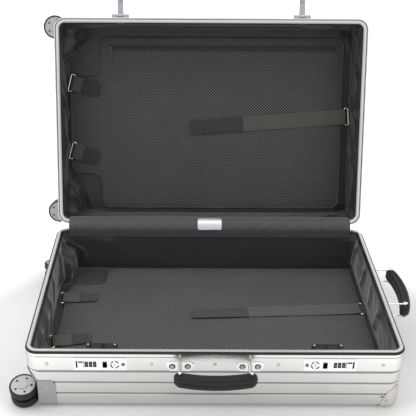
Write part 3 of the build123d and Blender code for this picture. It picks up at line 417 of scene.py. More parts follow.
def metal(name, colour, low, high, stretch=(1, 1, 1), depth=0.00002, wear=0.0, metallic=1.0):
    """Metal with drawn grain, faint unevenness and rubbed spots"""
    material, tree, shader, place = start_finish(name)
    drawn = use_group(tree, grain, {"Vector": place, "Stretch": stretch, "Low": low, "High": high})
    shade = shades(tree, drawn.outputs["Tone"], colour, 0.93, 1.05)
    if wear:
        spots = use_group(tree, rubbed, {"Vector": place, "Scale": 45.0, "Amount": wear})
        shade = mix_colour(tree, spots.outputs["Mask"], shade, tint(colour, 0.72))
    tree.links.new(shade, shader.inputs["Base Color"])
    tree.links.new(drawn.outputs["Roughness"], shader.inputs["Roughness"])
    shader.inputs["Metallic"].default_value = metallic
    bump(tree, shader, drawn.outputs["Height"], 0.35, depth)
    return material


def half_metal(name, colour, low, high, levels, turned, seal=None, lip=False):
    """Sheet or extrusion of one half: grain, shaded grooves, a darker inner lip, rubber above a level"""
    material, tree, shader, place = start_finish(name, turned)
    drawn = use_group(tree, grain, {"Vector": place, "Stretch": (0.035, 0.5, 1.6), "Low": low, "High": high})
    spots = use_group(tree, rubbed, {"Vector": place, "Scale": 30.0, "Amount": 0.12})
    shade = shades(tree, drawn.outputs["Tone"], colour, 0.86, 1.12)
    shade = mix_colour(tree, spots.outputs["Mask"], shade, tint(colour, 0.8))
    level = parts_of(tree, place)[2]
    for centre, half, dark in levels:
        line = use_group(tree, groove, {"Level": level, "Centre": centre, "Half": half})
        strength = maths(tree, "MULTIPLY", line.outputs["Mask"], dark)
        shade = mix_colour(tree, strength, shade, tint(colour, 0.16))
    if lip:
        inset = use_group(tree, rim, {"Vector": place}).outputs["Inset"]
        shade = mix_colour(tree, remap(tree, inset, 0.0075, 0.0118, 0.0, 0.75), shade, (0.12, 0.13, 0.15))
        edge = use_group(tree, groove, {"Level": inset, "Centre": 0.0034, "Half": 0.0011})
        strength = maths(tree, "MULTIPLY", edge.outputs["Mask"], 0.8)
        shade = mix_colour(tree, strength, shade, (0.06, 0.05, 0.04))
    shader.inputs["Metallic"].default_value = 1.0
    rough = drawn.outputs["Roughness"]
    if seal is not None:
        rubber = remap(tree, level, seal - 0.0001, seal + 0.0001)
        shade = mix_colour(tree, rubber, shade, (0.010, 0.010, 0.011))
        rough = maths(tree, "ADD", rough, maths(tree, "MULTIPLY", rubber, 0.25))
        tree.links.new(maths(tree, "SUBTRACT", 1.0, rubber), shader.inputs["Metallic"])
    tree.links.new(shade, shader.inputs["Base Color"])
    tree.links.new(rough, shader.inputs["Roughness"])
    bump(tree, shader, drawn.outputs["Height"], 0.4, 0.00002)
    return material


def plastic(name, colour, roughness, coat=0.0):
    """Moulded plastic or rubber with a fine spark-eroded skin"""
    material, tree, shader, place = start_finish(name)
    skin = clouds(tree, place, 700.0, 2.0)
    spots = use_group(tree, rubbed, {"Vector": place, "Scale": 80.0, "Amount": 0.3})
    tree.links.new(mix_colour(tree, spots.outputs["Mask"], colour, [c * 1.5 + 0.01 for c in colour]),
                   shader.inputs["Base Color"])
    uneven = remap(tree, skin, 0.0, 1.0, roughness * 0.85, roughness * 1.15)
    tree.links.new(uneven, shader.inputs["Roughness"])
    shader.inputs["Coat Weight"].default_value = coat
    shader.inputs["Specular IOR Level"].default_value = 0.3
    bump(tree, shader, skin, 0.3, 0.00005)
    return material


def cloth(name, colour, roughness, pitch, sheen=0.3, turned=False):
    """Close woven lining cloth with a soft sheen and faint creasing"""
    material, tree, shader, place = start_finish(name, turned)
    threads = use_group(tree, weave, {"Vector": place, "Pitch": pitch})
    creases = clouds(tree, place, 38.0, 5.0)
    tree.links.new(shades(tree, creases, colour, 0.8, 1.2), shader.inputs["Base Color"])
    uneven = remap(tree, creases, 0.0, 1.0, roughness * 0.9, roughness * 1.15)
    tree.links.new(uneven, shader.inputs["Roughness"])
    shader.inputs["Sheen Weight"].default_value = sheen
    shader.inputs["Sheen Roughness"].default_value = 0.4
    height = maths(tree, "ADD", maths(tree, "MULTIPLY", threads.outputs[0], 0.12), creases)
    bump(tree, shader, height, 0.5, 0.0012)
    return material


def tufted_cloth(name, colour, length, width):
    """Cloth with a row of small dark tufts, placed on the piece's own map"""
    pitch, row = 0.035, 0.0215
    material = cloth(name, colour, 0.62, 0.0014)
    tree = material.node_tree
    shader = tree.nodes["Principled BSDF"]
    parts = parts_of(tree, node(tree, "ShaderNodeUVMap").outputs[0])
    run = maths(tree, "MULTIPLY", parts[0], length)
    across = maths(tree, "MULTIPLY", parts[1], width)
    step = maths(tree, "SUBTRACT", maths(tree, "FLOORED_MODULO", run, pitch), pitch / 2)
    off = maths(tree, "SUBTRACT", across, row)
    away = maths(tree, "SQRT", maths(tree, "ADD", maths(tree, "MULTIPLY", step, step),
                                     maths(tree, "MULTIPLY", off, off)))
    plain = shader.inputs["Base Color"].links[0].from_socket
    sunk = mix_colour(tree, remap(tree, away, 0.0028, 0.0008), plain, tint(colour, 0.3))
    tree.links.new(sunk, shader.inputs["Base Color"])
    return material


def spacer_mesh(name, thread, hole, pitch, turned=False):
    """Open mesh of the divider pads: light threads round dark staggered holes"""
    material, tree, shader, place = start_finish(name, turned)
    net = use_group(tree, lattice, {"Vector": place, "Pitch": pitch})
    worn = shades(tree, clouds(tree, place, 14.0, 3.0), thread, 0.85, 1.15)
    tree.links.new(mix_colour(tree, net.outputs["Hole"], worn, hole), shader.inputs["Base Color"])
    shader.inputs["Roughness"].default_value = 0.62
    shader.inputs["Sheen Weight"].default_value = 0.06
    bump(tree, shader, net.outputs["Height"], 0.6, 0.0008)
    return material


def webbing(name, colour, rib_pitch, rib_depth):
    """Woven strap, ribbed across its length; it follows the strap's own map"""
    material, tree, shader, place = start_finish(name)
    thread_pitch = 0.0016
    parts = parts_of(tree, node(tree, "ShaderNodeUVMap").outputs[0])
    rib = maths(tree, "SINE", maths(tree, "MULTIPLY", parts[0], 2 * math.pi / rib_pitch))
    thread = maths(tree, "SINE", maths(tree, "MULTIPLY", parts[1], 2 * math.pi / thread_pitch))
    height = maths(tree, "ADD", rib, maths(tree, "MULTIPLY", thread, 0.3))
    fluff = clouds(tree, place, 320.0, 3.0)
    tree.links.new(shades(tree, fluff, colour, 0.75, 1.25), shader.inputs["Base Color"])
    shader.inputs["Roughness"].default_value = 0.75
    shader.inputs["Sheen Weight"].default_value = 0.25
    bump(tree, shader, height, 0.5, rib_depth)
    return material


def dashed_binding(name, colour, dash, turned):
    """Edge tape of the pads: dark cloth with a row of light slanting stitches"""
    stitch_pitch = 0.0042
    material, tree, shader, place = start_finish(name, turned)
    parts = parts_of(tree, place)
    slant = maths(tree, "ADD", parts[0], parts[1])
    wave = maths(tree, "SINE", maths(tree, "MULTIPLY", slant, 2 * math.pi / stitch_pitch))
    stitch = remap(tree, wave, 0.2, 0.6)
    patch = clouds(tree, place, 7.0, 2.0)
    shown = maths(tree, "MULTIPLY", stitch, remap(tree, patch, 0.42, 0.62))
    tree.links.new(mix_colour(tree, shown, colour, dash), shader.inputs["Base Color"])
    tree.links.new(remap(tree, patch, 0.0, 1.0, 0.5, 0.8), shader.inputs["Roughness"])
    bump(tree, shader, stitch, 0.4, 0.0004)
    return material


def leather(name, colour):
    """Black grained leather with a low sheen and rubbed high spots"""
    material, tree, shader, place = start_finish(name)
    pebbles = node(tree, "ShaderNodeTexVoronoi", {"Vector": place, "Scale": 620.0},
                   feature="DISTANCE_TO_EDGE")
    rubs = clouds(tree, place, 90.0, 4.0)
    tree.links.new(shades(tree, rubs, colour, 0.8, 1.5), shader.inputs["Base Color"])
    tree.links.new(remap(tree, rubs, 0.0, 1.0, 0.42, 0.6), shader.inputs["Roughness"])
    shader.inputs["Specular IOR Level"].default_value = 0.32
    height = maths(tree, "ADD", pebbles.outputs[0], maths(tree, "MULTIPLY", rubs, 0.4))
    bump(tree, shader, height, 0.5, 0.0004)
    return material


def wheel_finish(name, centre, axis, rubber, hub):
    """Tyre and hub in one wheel: the hub's casting inside a radius, rubber outside it"""
    material, tree, shader, place = start_finish(name)
    tyre_inside, tyre_side, hub_face = 0.0240, 0.0191, 0.0153
    away = vector_maths(tree, "SUBTRACT", place, centre)
    along = vector_maths(tree, "DOT_PRODUCT", away, axis)
    reach = vector_maths(tree, "LENGTH", away)
    radius = maths(tree, "SQRT", maths(tree, "SUBTRACT", maths(tree, "MULTIPLY", reach, reach),
                                       maths(tree, "MULTIPLY", along, along)))
    out = maths(tree, "ABSOLUTE", along)
    proud = remap(tree, out, tyre_side - 0.0001, tyre_side + 0.0001)
    inside = remap(tree, radius, tyre_inside + 0.0001, tyre_inside - 0.0001)
    face = maths(tree, "MULTIPLY", inside, remap(tree, out, hub_face - 0.0003, hub_face + 0.0003))
    cloud = clouds(tree, place, 260.0, 3.0)
    cast, tread = shades(tree, cloud, hub, 0.85, 1.12), shades(tree, cloud, rubber, 0.8, 1.4)
    tree.links.new(mix_colour(tree, face, tread, cast), shader.inputs["Base Color"])
    tree.links.new(maths(tree, "MULTIPLY", face, 0.35), shader.inputs["Metallic"])
    rough = maths(tree, "SUBTRACT", 0.62, maths(tree, "MULTIPLY", face, 0.2))
    tree.links.new(rough, shader.inputs["Roughness"])
    bump(tree, shader, maths(tree, "ADD", cloud, proud), 0.3, 0.0002)
    return material


# Levels in a half's own frame that are shaded: middle, half width and how dark
SIDE_GROOVES = [(0.0353, 0.0029, 0.7), (0.0629, 0.0029, 0.7), (0.0905, 0.0029, 0.7)]
FRAME_LINES = [(0.1268, 0.0011, 0.55), (0.0946, 0.0009, 0.6)]
SHEET_COLOUR = (0.64, 0.635, 0.62)
FRAME_COLOUR = (0.68, 0.675, 0.66)
sheet_metal = half_metal("sheet_aluminium", SHEET_COLOUR, 0.28, 0.42, SIDE_GROOVES, False)
lid_sheet = half_metal("lid_sheet_aluminium", SHEET_COLOUR, 0.28, 0.42, SIDE_GROOVES, True)
frame_metal = half_metal("frame_aluminium", FRAME_COLOUR, 0.18, 0.3, FRAME_LINES, False, lip=True)
lid_frame_metal = half_metal("lid_frame_aluminium", FRAME_COLOUR, 0.18, 0.3, FRAME_LINES, True, lip=True)
seal_finish = half_metal("seal_in_frame", (0.70, 0.695, 0.68), 0.18, 0.3, [], False, seal=0.1338)
tube_metal = metal("tube_aluminium", (0.72, 0.72, 0.71), 0.2, 0.32, (1, 1, 0.05))
cap_finish = metal("pressed_cap_metal", (0.66, 0.64, 0.59), 0.30, 0.42, wear=0.3)
cast_finish = metal("housing_casting", (0.42, 0.44, 0.43), 0.42, 0.55, depth=0.0001, wear=0.35, metallic=0.45)
rivet_finish = metal("rivet_steel", (0.50, 0.48, 0.44), 0.25, 0.38, wear=0.3)
plate_finish = metal("lock_plate_satin", (0.80, 0.82, 0.86), 0.24, 0.34, (0.05, 1, 1), wear=0.1)
hinge_finish = metal("hinge_steel", (0.62, 0.62, 0.61), 0.3, 0.42, (0.05, 1, 1), wear=0.3)
hasp_finish = metal("hasp_steel", (0.42, 0.43, 0.46), 0.22, 0.34, wear=0.2)
strip_plate_finish = metal("strip_plate_metal", (0.56, 0.58, 0.62), 0.3, 0.45, (0.05, 1, 1), wear=0.15)
chrome = metal("handle_chrome", (0.78, 0.78, 0.79), 0.10, 0.2, depth=0.000005, wear=0.15)
nickel = metal("nickel_wire", (0.80, 0.74, 0.62), 0.15, 0.27, wear=0.2)
black_plastic = plastic("black_plastic", (0.014, 0.014, 0.015), 0.42)
fork_plastic = plastic("fork_plastic", (0.035, 0.037, 0.038), 0.5)
dial_plastic = plastic("dial_plastic", (0.010, 0.010, 0.011), 0.35)
red_enamel = plastic("red_enamel", (0.62, 0.03, 0.02), 0.25, coat=0.5)
# Near-black for the key's dial marks and the slider's rib, and for painted shade: rings in the screws'
# recesses, bars in their slots and the line beside each slider
dark_marks_and_painted_shade = plastic("dark_marks_and_painted_shade", (0.012, 0.012, 0.013), 0.4)
brass_pin = metal("brass_pin", (0.62, 0.47, 0.22), 0.25, 0.4)
white_paint = plastic("white_paint", (0.75, 0.75, 0.73), 0.5)
zip_finish = metal("zip_metal", (0.06, 0.065, 0.085), 0.35, 0.5, wear=0.3, metallic=0.6)
lining_cloth = cloth("lining_satin", (0.036, 0.033, 0.038), 0.33, 0.0012, 0.9)
# The lid's lining is the same satin as the base's, made darker and less glossy: painted shade, as the lid's
# inside gets less light
lid_lining_cloth = cloth("lid_lining_satin_painted_shade", (0.015, 0.0145, 0.016), 0.34, 0.0012, 0.3, turned=True)
strip_cloth = tufted_cloth("strip_cloth", (0.082, 0.078, 0.083), 0.682, 0.0786)
zip_tape_cloth = cloth("zip_tape_cloth", (0.030, 0.031, 0.046), 0.7, 0.0009, turned=True)
base_mesh = spacer_mesh(
    "base_pad_mesh", (0.212, 0.208, 0.222), (0.004, 0.004, 0.005), (0.0071, 0.0081, 1))
# The lid's pad is the same mesh as the base's, with darker threads and holes: painted shade, as the lid's
# inside gets less light
lid_mesh = spacer_mesh(
    "lid_pad_mesh_painted_shade", (0.156, 0.148, 0.163), (0.001, 0.001, 0.001), (0.0081, 0.0071, 1), turned=True)
base_binding = dashed_binding("base_edge_tape", (0.055, 0.053, 0.057), (0.16, 0.155, 0.16), False)
lid_binding = dashed_binding("lid_edge_tape", (0.040, 0.038, 0.042), (0.15, 0.145, 0.15), True)
green_webbing = webbing("ring_webbing", (0.098, 0.100, 0.088), 0.0022, 0.0003)
dark_webbing = webbing("tip_webbing", (0.042, 0.041, 0.046), 0.0085, 0.0016)
grip_leather = leather("grip_leather", (0.0045, 0.0045, 0.005))
waxed_thread = plastic("waxed_thread", (0.050, 0.050, 0.053), 0.55)


# Linings: cloth trays with loose folds at their ends, drawn with the outside face down

def rounded_wall(x, y, reach_x, reach_y, corner):
    """The nearest place on a wall that follows the case's plan"""
    core_x, core_y = reach_x - corner, reach_y - corner
    near_x, near_y = min(core_x, max(-core_x, x)), min(core_y, max(-core_y, y))
    if abs(x) >= core_x and abs(y) >= core_y:
        away = Vector((x - near_x, y - near_y))
        away = away.normalized() if away.length > 1e-9 else Vector((1, 1)).normalized()
        return near_x + away.x * corner, near_y + away.y * corner
    if abs(x) - core_x > abs(y) - core_y:
        return math.copysign(reach_x, x), near_y
    return near_x, math.copysign(reach_y, y)


def housing_bulge(x, y, z, top):
    """How far the cloth stands in over a wheel housing"""
    return ramp(abs(y), 0.146, 0.170) * (1 - ramp(z, top - 0.012, top + 0.008)) * ramp(-x, 0.300, 0.336)


def folds(along, height, seed, lean):
    """Broad soft folds that lean, with a sharper edge on one side and small creases between"""
    warp = noise.noise(Vector((along * 5, height * 9, seed))) * 0.045
    place = (along + warp + height * lean) * 11
    ridge = noise.noise(Vector((place, height * 3.5, seed + 7)))
    crease = 1 - min(1.0, abs(ridge) * 3.4)
    broad = noise.noise(Vector((along * 7, height * 5, seed + 11)))
    small = noise.noise(Vector(((along - height * lean) * 42, height * 18, seed + 19)))
    return crease * crease * 0.75 + broad * 0.9 + small * 0.16


def ridge_over(u, v, start, end, width):
    """Height of one fold that runs from start to end, dying out at both ends"""
    start, end, here = Vector(start), Vector(end), Vector((u, v))
    way = end - start
    share = max(0.0, min(1.0, (here - start).dot(way) / way.length_squared))
    away = (here - start - way * share).length / width
    return math.exp(-away * away * 2) * (0.35 + 0.65 * math.sin(math.pi * (0.15 + 0.7 * share)))


# Folds that stand out: where they start and end along the wall and up it, their width and height
END_FOLDS = {
    "base_lining_cloth": [
        ((0.222, 0.118), (0.168, 0.040), 0.012, 0.0075),
        ((0.215, 0.070), (0.150, 0.046), 0.008, 0.0060),
        ((0.200, 0.058), (0.172, 0.036), 0.006, 0.0055),
        ((0.150, 0.112), (0.120, 0.040), 0.014, 0.0050),
        ((-0.160, 0.110), (-0.200, 0.050), 0.012, 0.0060),
        ((0.020, 0.115), (-0.020, 0.050), 0.020, 0.0045),
    ],
    "lid_lining_cloth": [
        ((0.210, 0.112), (0.165, 0.045), 0.013, 0.0070),
        ((0.225, 0.080), (0.180, 0.070), 0.008, 0.0050),
        ((-0.165, 0.110), (-0.215, 0.050), 0.012, 0.0065),
        ((0.060, 0.108), (0.030, 0.045), 0.018, 0.0050),
    ],
}


def make_lining(name, floor, top, housing_top, seed, place, material):
    """Cloth tray: a net for the floor, its edge drawn up in steps, then creased at the ends"""
    end_fold, most_inward, corner_fold, ripple, housing_reach = 0.0125, 0.0170, 0.0075, 0.0012, 0.021
    reach_x, reach_y = HALF_LENGTH - LINING_FACE, HALF_WIDTH - LINING_FACE
    columns, rows, steps = 98, 66, 16
    tray = add_grid(name, (-reach_x, -reach_y), (reach_x, reach_y), columns, rows, floor)

    def round_edge(p):
        if abs(p.x) > reach_x - 1e-5 or abs(p.y) > reach_y - 1e-5:
            return Vector((*rounded_wall(p.x, p.y, reach_x, reach_y, LINING_CORNER), p.z))
        return p

    shape(tray, round_edge)
    edit(tray, "EDGE")
    pick(tray, "edges", lambda e: e.is_boundary)
    rise = (top - floor) / steps
    for step in range(steps):
        bpy.ops.mesh.extrude_region_move(TRANSFORM_OT_translate={"value": (0, 0, rise)})
    done()

    def crease(p):
        """Folds and housings on the walls, and the cloth's gathers where the floor ends"""
        on_wall = p.z > floor + rise / 2
        height = (p.z - floor) / (top - floor)
        bulge = housing_bulge(p.x, p.y, p.z, housing_top)
        side = math.copysign(1, p.x)
        end = ramp(abs(p.x), 0.335, 0.350)
        loose = ramp(height, 0.16, 0.36) * (1 - ramp(height, 0.82, 1.0))
        start_x = p.x
        if on_wall:
            along = p.y + side * 0.3
            inward = end_fold * (0.2 + folds(along, p.z, seed + side, 0.55 * side)) if end else 0.0
            if side < 0:
                for first, last, width, tall in END_FOLDS[name]:
                    inward += tall * ridge_over(p.y, p.z, first, last, width)
            inward = min(most_inward, max(0.0, inward))
            p.x -= side * end * loose * inward
            corner = ramp(abs(p.y), 0.19, 0.2318) * ramp(abs(start_x), 0.15, 0.34) * loose
            swell = max(0.0, corner_fold * corner * (0.3 + folds(start_x * 0.8, p.z, seed + 3, 0.9)))
            swell += ripple * loose * (1 + noise.noise(Vector((start_x * 12, p.z * 30, seed))))
            if abs(p.y) > 0.2:
                p.y -= math.copysign(swell, p.y)
            p.x -= side * bulge * housing_reach
            crumple = noise.noise(Vector((p.y * 60, p.z * 60, seed)))
            p.x -= side * bulge * 0.004 * max(0.0, 1 - abs(crumple) * 4)
        else:
            p.x -= side * bulge * housing_reach
            edge = ramp(abs(p.x), 0.28, 0.335) * (1 - ramp(abs(p.x), 0.35, 0.356))
            crumple = noise.noise(Vector((p.x * 34, p.y * 22, seed + 5)))
            p.z += 0.0034 * edge * ramp(abs(p.y), 0.13, 0.17) * max(0.0, 1 - abs(crumple) * 4)
        return p

    shape(tray, crease)
    edit(tray)
    turn_outwards()
    done()
    middle = min(tray.data.polygons, key=lambda f: f.center.xy.length + abs(f.center.z - floor))
    if middle.normal.z < 0:
        edit(tray)
        select_all()
        bpy.ops.mesh.flip_normals()
        done()
    modify(tray, "SUBSURF", levels=1, render_levels=1)
    modify(tray, "SOLIDIFY", thickness=0.0008, offset=-1)
    smooth(tray)
    finish_in(tray, material)
    settle(tray, place)
    return tray


base_cloth = make_lining("base_lining_cloth", floor=0.0283, top=0.1270, housing_top=0.096, seed=3.0,
                         place=BASE, material=lining_cloth)
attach(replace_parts(base_cloth, "base_lining"), "base")
lid_cloth = make_lining("lid_lining_cloth", floor=0.0203, top=0.1235, housing_top=0.094, seed=11.0,
                        place=LID, material=lid_lining_cloth)
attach(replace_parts(lid_cloth, "lid_lining"), "lid")


# Divider pads: stiffened mesh boards with bound edges

def depth_inside(x, y, pad, tab):
    """How far a place on the pad lies from the pad's outline"""
    x_low, x_high, y_low, y_high = pad
    main = min(x - x_low, x_high - x, y - y_low, y_high - y)
    return max(main, min(x - tab[0], x_high - x, y - tab[1], tab[2] - y))


def make_pad(name, pad, tab, level, place, mesh_material):
    """A flat outline with a tab, rounded, thickened, bound round its edge and slightly crowned"""
    x_low, x_high, y_low, y_high = pad
    board = add_grid(name, (x_low, y_low), (x_high, y_high), 1, 1, level)
    edit(board, "EDGE")
    for side in (tab[1], tab[2]):
        cut((0, side, 0), (0, 1, 0))

    def at_tab(edge):
        middle = (edge.verts[0].co + edge.verts[1].co) / 2
        return abs(middle.x - x_low) < 1e-5 and tab[1] < middle.y < tab[2]

    pick(board, "edges", at_tab)
    bpy.ops.mesh.extrude_region_move(TRANSFORM_OT_translate={"value": (tab[0] - x_low, 0, 0)})
    select_all()
    bpy.ops.mesh.dissolve_limited(angle_limit=0.01)
    bpy.ops.mesh.select_mode(type="VERT")
    select_all()
    bpy.ops.mesh.bevel(offset=PAD_CORNER, offset_type="OFFSET", segments=9, affect="VERTICES")
    bpy.ops.mesh.select_mode(type="FACE")
    thicken((0, 0, PAD_THICKNESS))
    turn_outwards()
    done()
    modify(board, "BEVEL", width=0.0016, segments=3, limit_method="ANGLE", angle_limit=math.radians(60))
    finish_in(board, base_binding if place is BASE else lid_binding, mesh_material)
    edit(board)
    top = max(point.co.z for point in board.data.vertices)
    pick(board, "faces", lambda f: f.normal.z > 0.99 and f.calc_center_median().z > top - 1e-4)
    bpy.ops.mesh.inset(thickness=0.0024, depth=0)
    bpy.ops.mesh.inset(thickness=0.0012, depth=-0.0011)
    board.active_material_index = 1
    bpy.ops.object.material_slot_assign()
    bpy.ops.mesh.inset(thickness=0.0040, depth=0.0006)
    span = ((tab[0], x_high, (1, 0, 0)), (y_low, y_high, (0, 1, 0)))
    for low, high, way in span:
        steps = int((high - low) / MESH_CELL)
        for step in range(1, steps):
            pick(board, "faces", lambda f: f.material_index == 1)
            across = low + (high - low) * step / steps
            bpy.ops.mesh.bisect(plane_co=[across * share for share in way], plane_no=way)
    done()
    seed = 2.0 if place is BASE else 8.0
    rise, ripple = 0.0004, 0.0014

    def crown(p):
        if p.z > top - 0.0012:
            inside = depth_inside(p.x, p.y, pad, tab)
            soft = ramp(inside, 0.008, 0.060)
            p.z += rise * soft + ripple * soft * noise.noise(Vector((p.x * 9, p.y * 9, seed)))
        return p

    shape(board, crown)
    smooth(board, 40)
    settle(board, place)
    return board


# A pad's outline is its lowest and highest x and y; its tab's is its far x and its lowest and highest y
base_pad = make_pad("base_divider_pad", pad=(-0.250, 0.350, -0.226, 0.226), tab=(-0.338, -0.125, 0.148),
                    level=0.0298, place=BASE, mesh_material=base_mesh)
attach(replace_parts(base_pad, "base_divider"), "base")
lid_pad = make_pad("lid_divider_pad", pad=(-0.273, 0.335, -0.223, 0.206), tab=(-0.350, -0.134, 0.109),
                   level=0.0218, place=LID, mesh_material=lid_mesh)
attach(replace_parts(lid_pad, "lid_divider"), "lid")


# Straps: webbing that wraps its ring and lies along the pad

def make_strap(name, ring_end, tip, level, dark_from, place):
    """A ribbon net laid on its path, folded round the ring's wire, with a doubled grip end"""
    ring_end, tip = Vector(ring_end), Vector(tip)
    way = tip - ring_end
    length, heading = way.length, math.atan2(way.y, way.x)
    half, round_wire, fold, tip_corner = 0.0188, 0.0085, 0.020, 0.008
    total = length + round_wire + fold
    columns = max(30, int(total / 0.004))
    ribbon = add_grid(name, (-fold - round_wire, -half), (length, half), columns, 6, 0)
    layer = ribbon.data.uv_layers.active or ribbon.data.uv_layers.new(name="UVMap")
    for loop in ribbon.data.loops:
        co = ribbon.data.vertices[loop.vertex_index].co
        layer.data[loop.index].uv = (co.x + 1, co.y + 1)

    def wrap(p):
        run = p.x
        past = run - length + tip_corner
        if past > 0:
            inset = tip_corner * (1 - math.sqrt(max(0.0, 1 - (past / tip_corner) ** 2)))
            p.y = math.copysign(min(abs(p.y), half - inset), p.y)
        if run >= 0:
            lift = 0.0024 * (1 - ramp(run, 0.004, 0.030))
            lift += 0.0009 * ramp(run, dark_from - 0.001, dark_from + 0.001)
            sag = 0.0007 * math.sin(run * 40) * ramp(run, 0.03, 0.05) * (1 - ramp(run, length - 0.03, length))
            return Vector((run, p.y, 0.0008 + lift + max(0.0, sag)))
        if run > -round_wire:
            turn = -run / round_wire * math.pi
            return Vector((-0.0018 - 0.0022 * math.sin(turn), p.y, 0.0014 + 0.0020 * math.cos(turn)))
        return Vector((-(run + round_wire), p.y, 0.0002))

    shape(ribbon, wrap)
    modify(ribbon, "SOLIDIFY", thickness=0.0012, offset=0)
    modify(ribbon, "BEVEL", width=0.0003, segments=2, limit_method="ANGLE")
    smooth(ribbon, 50)
    finish_in(ribbon, green_webbing, dark_webbing)
    for face in ribbon.data.polygons:
        if face.center.x > dark_from:
            face.material_index = 1
    shape(ribbon, lambda p: Matrix.Rotation(heading, 3, "Z") @ p + Vector((ring_end.x, ring_end.y, level)))
    settle(ribbon, place)
    return ribbon


# Each half's pad top and place, and each strap's ring, its tip and where its dark end starts
RING_X = 0.3392
strap_runs = {
    "base": (0.0362, BASE, [
        ((RING_X, 0.049), (-0.047, 0.027), 0.255),
        ((-RING_X, 0.089), (-0.262, 0.093), 0.034),
        ((-RING_X, -0.078), (-0.262, -0.064), 0.036),
    ]),
    "lid": (0.0282, LID, [
        ((RING_X, 0.013), (-0.047, -0.017), 0.255),
        ((-RING_X, 0.092), (-0.273, 0.075), 0.020),
        ((-RING_X, -0.077), (-0.278, -0.094), 0.020),
    ]),
}
for half_name, (level, place, runs) in strap_runs.items():
    for place_name, (ring_end, tip, dark_from) in zip(("long", "rear", "front"), runs):
        strap = make_strap(f"{half_name}_{place_name}_strap", ring_end, tip, level, dark_from, place)
        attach(strap, half_name)
        if place_name == "long":
            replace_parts(strap, f"{half_name}_straps")


# Zip along the top of the lid's pad: two tapes with the coil between them

def make_zip():
    middle, half = 0.180, 0.0075
    tape = add_grid("lid_zip_tape", (-0.252, middle - half), (0.313, middle + half), 280, 14, 0)

    def profile(p):
        from_middle = abs(p.y - middle)
        coil = 0.0012 if from_middle < 0.0013 else 0.0
        tooth = 0.0004 * math.sin(p.x * 2 * math.pi / 0.004) if coil else 0.0
        return Vector((p.x, p.y, 0.0280 + coil + tooth))

    shape(tape, profile)
    modify(tape, "SOLIDIFY", thickness=0.0006, offset=-1)
    smooth(tape, 40)
    finish_in(tape, zip_tape_cloth)
    settle(tape, LID)
    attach(tape, "lid")


make_zip()


# Cloth strip over the hinge, with its dimples and a bare plate

STRIP_REACH, STRIP_RISE = 0.0231, 0.0040
STRIP_RADIUS = math.hypot(STRIP_REACH, STRIP_RISE)
STRIP_ARC = STRIP_RADIUS * OPEN_ANGLE


def strip_point(run, out=0.0):
    """A place along the strip's section: up inside the base, round the hinge, into the lid"""
    first = math.pi - math.atan2(STRIP_RISE, STRIP_REACH)
    middle = Vector((HINGE.y, HINGE.z))
    if run < 0:
        return Vector((HINGE.y - STRIP_REACH - out, HINGE.z + STRIP_RISE + run))
    if run > STRIP_ARC:
        start = Vector((math.cos(first - OPEN_ANGLE), math.sin(first - OPEN_ANGLE))) * (STRIP_RADIUS + out)
        way = Vector((math.sin(OPEN_ANGLE), math.cos(OPEN_ANGLE)))
        return middle + start + way * (run - STRIP_ARC)
    turn = first - run / STRIP_RADIUS
    return middle + Vector((math.cos(turn), math.sin(turn))) * (STRIP_RADIUS + out)


def make_hinge_strip():
    """Cloth laid round the hinge, a little puffed, drawn in at two rows of dimples"""
    half, below, beyond, pitch, phase = 0.341, 0.019, 0.015, 0.035, 10.0175
    strip = add_grid("hinge_strip_cloth", (-half, -below), (half, STRIP_ARC + beyond), 260, 34, 0)

    def lay(p):
        dimple = 0.0
        for row in (0.010, STRIP_ARC - 0.008):
            near = (p.x + phase) % pitch - pitch / 2
            dimple += 0.0016 * math.exp(-(near ** 2 + (p.y - row) ** 2) / 0.0030 ** 2)
        puff = 0.0012 * noise.noise(Vector((p.x * 14, p.y * 30, 2.0)))
        puff += 0.0010 * noise.noise(Vector((p.x * 45, p.y * 18, 5.0)))
        middle = math.sin(math.pi * min(1.0, max(0.0, p.y / STRIP_ARC)))
        y, z = strip_point(p.y, (puff + 0.0008) * middle - dimple)
        return Vector((p.x, y, z))

    shape(strip, lay)
    modify(strip, "SOLIDIFY", thickness=0.0012, offset=0)
    smooth(strip)
    finish_in(strip, strip_cloth)
    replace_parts(strip, "hinge_cover_strip")
    return strip


def make_plate():
    """Thin bare plate with rounded corners and a rolled rim, curved with the strip"""
    middle, half, half_width, corner = 0.0165, 0.0140, 0.029, 0.003
    plate = add_grid("strip_plate", (-half_width, middle - half), (half_width, middle + half), 28, 14, 0)
    edit(plate)
    thicken((0, 0, 0.0008))
    turn_outwards()
    done()
    core_x, core_y = half_width - corner, half - corner

    def curve(p):
        dx, dy = max(0.0, abs(p.x) - core_x), max(0.0, abs(p.y - middle) - core_y)
        if math.hypot(dx, dy) > corner:
            scale = corner / math.hypot(dx, dy)
            p.x = math.copysign(core_x + dx * scale, p.x)
            p.y = middle + math.copysign(core_y + dy * scale, p.y - middle)
        edge = max(abs(p.x) / half_width, abs(p.y - middle) / half)
        y, z = strip_point(p.y, 0.0020 + p.z + (0.0004 * ramp(edge, 0.86, 0.93) if p.z > 0 else 0))
        return Vector((p.x, y, z))

    shape(plate, curve)
    modify(plate, "BEVEL", width=0.0003, segments=2, limit_method="ANGLE", angle_limit=math.radians(50))
    smooth(plate, 40)
    finish_in(plate, strip_plate_finish)
    return plate


for bending in (make_hinge_strip(), make_plate()):
    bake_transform(bending)


# Grips: leather over an arched core, with rolled edges, a sunk channel and a stitched welt

HANDLE_LEVEL = 0.1065
GRIP_HALF = (0.0795, 0.0110, 0.0130)
GRIP_END = 0.0655
GRIP_MIDDLE = -0.2844
GRIP_SEAM = -0.2949
GRIP_ARCH, ARCH_HALF = 0.0117, 0.080


def grip_out(x):
    """How far the grip's arch stands out at x"""
    return GRIP_ARCH * (1 - (x / ARCH_HALF) ** 2)


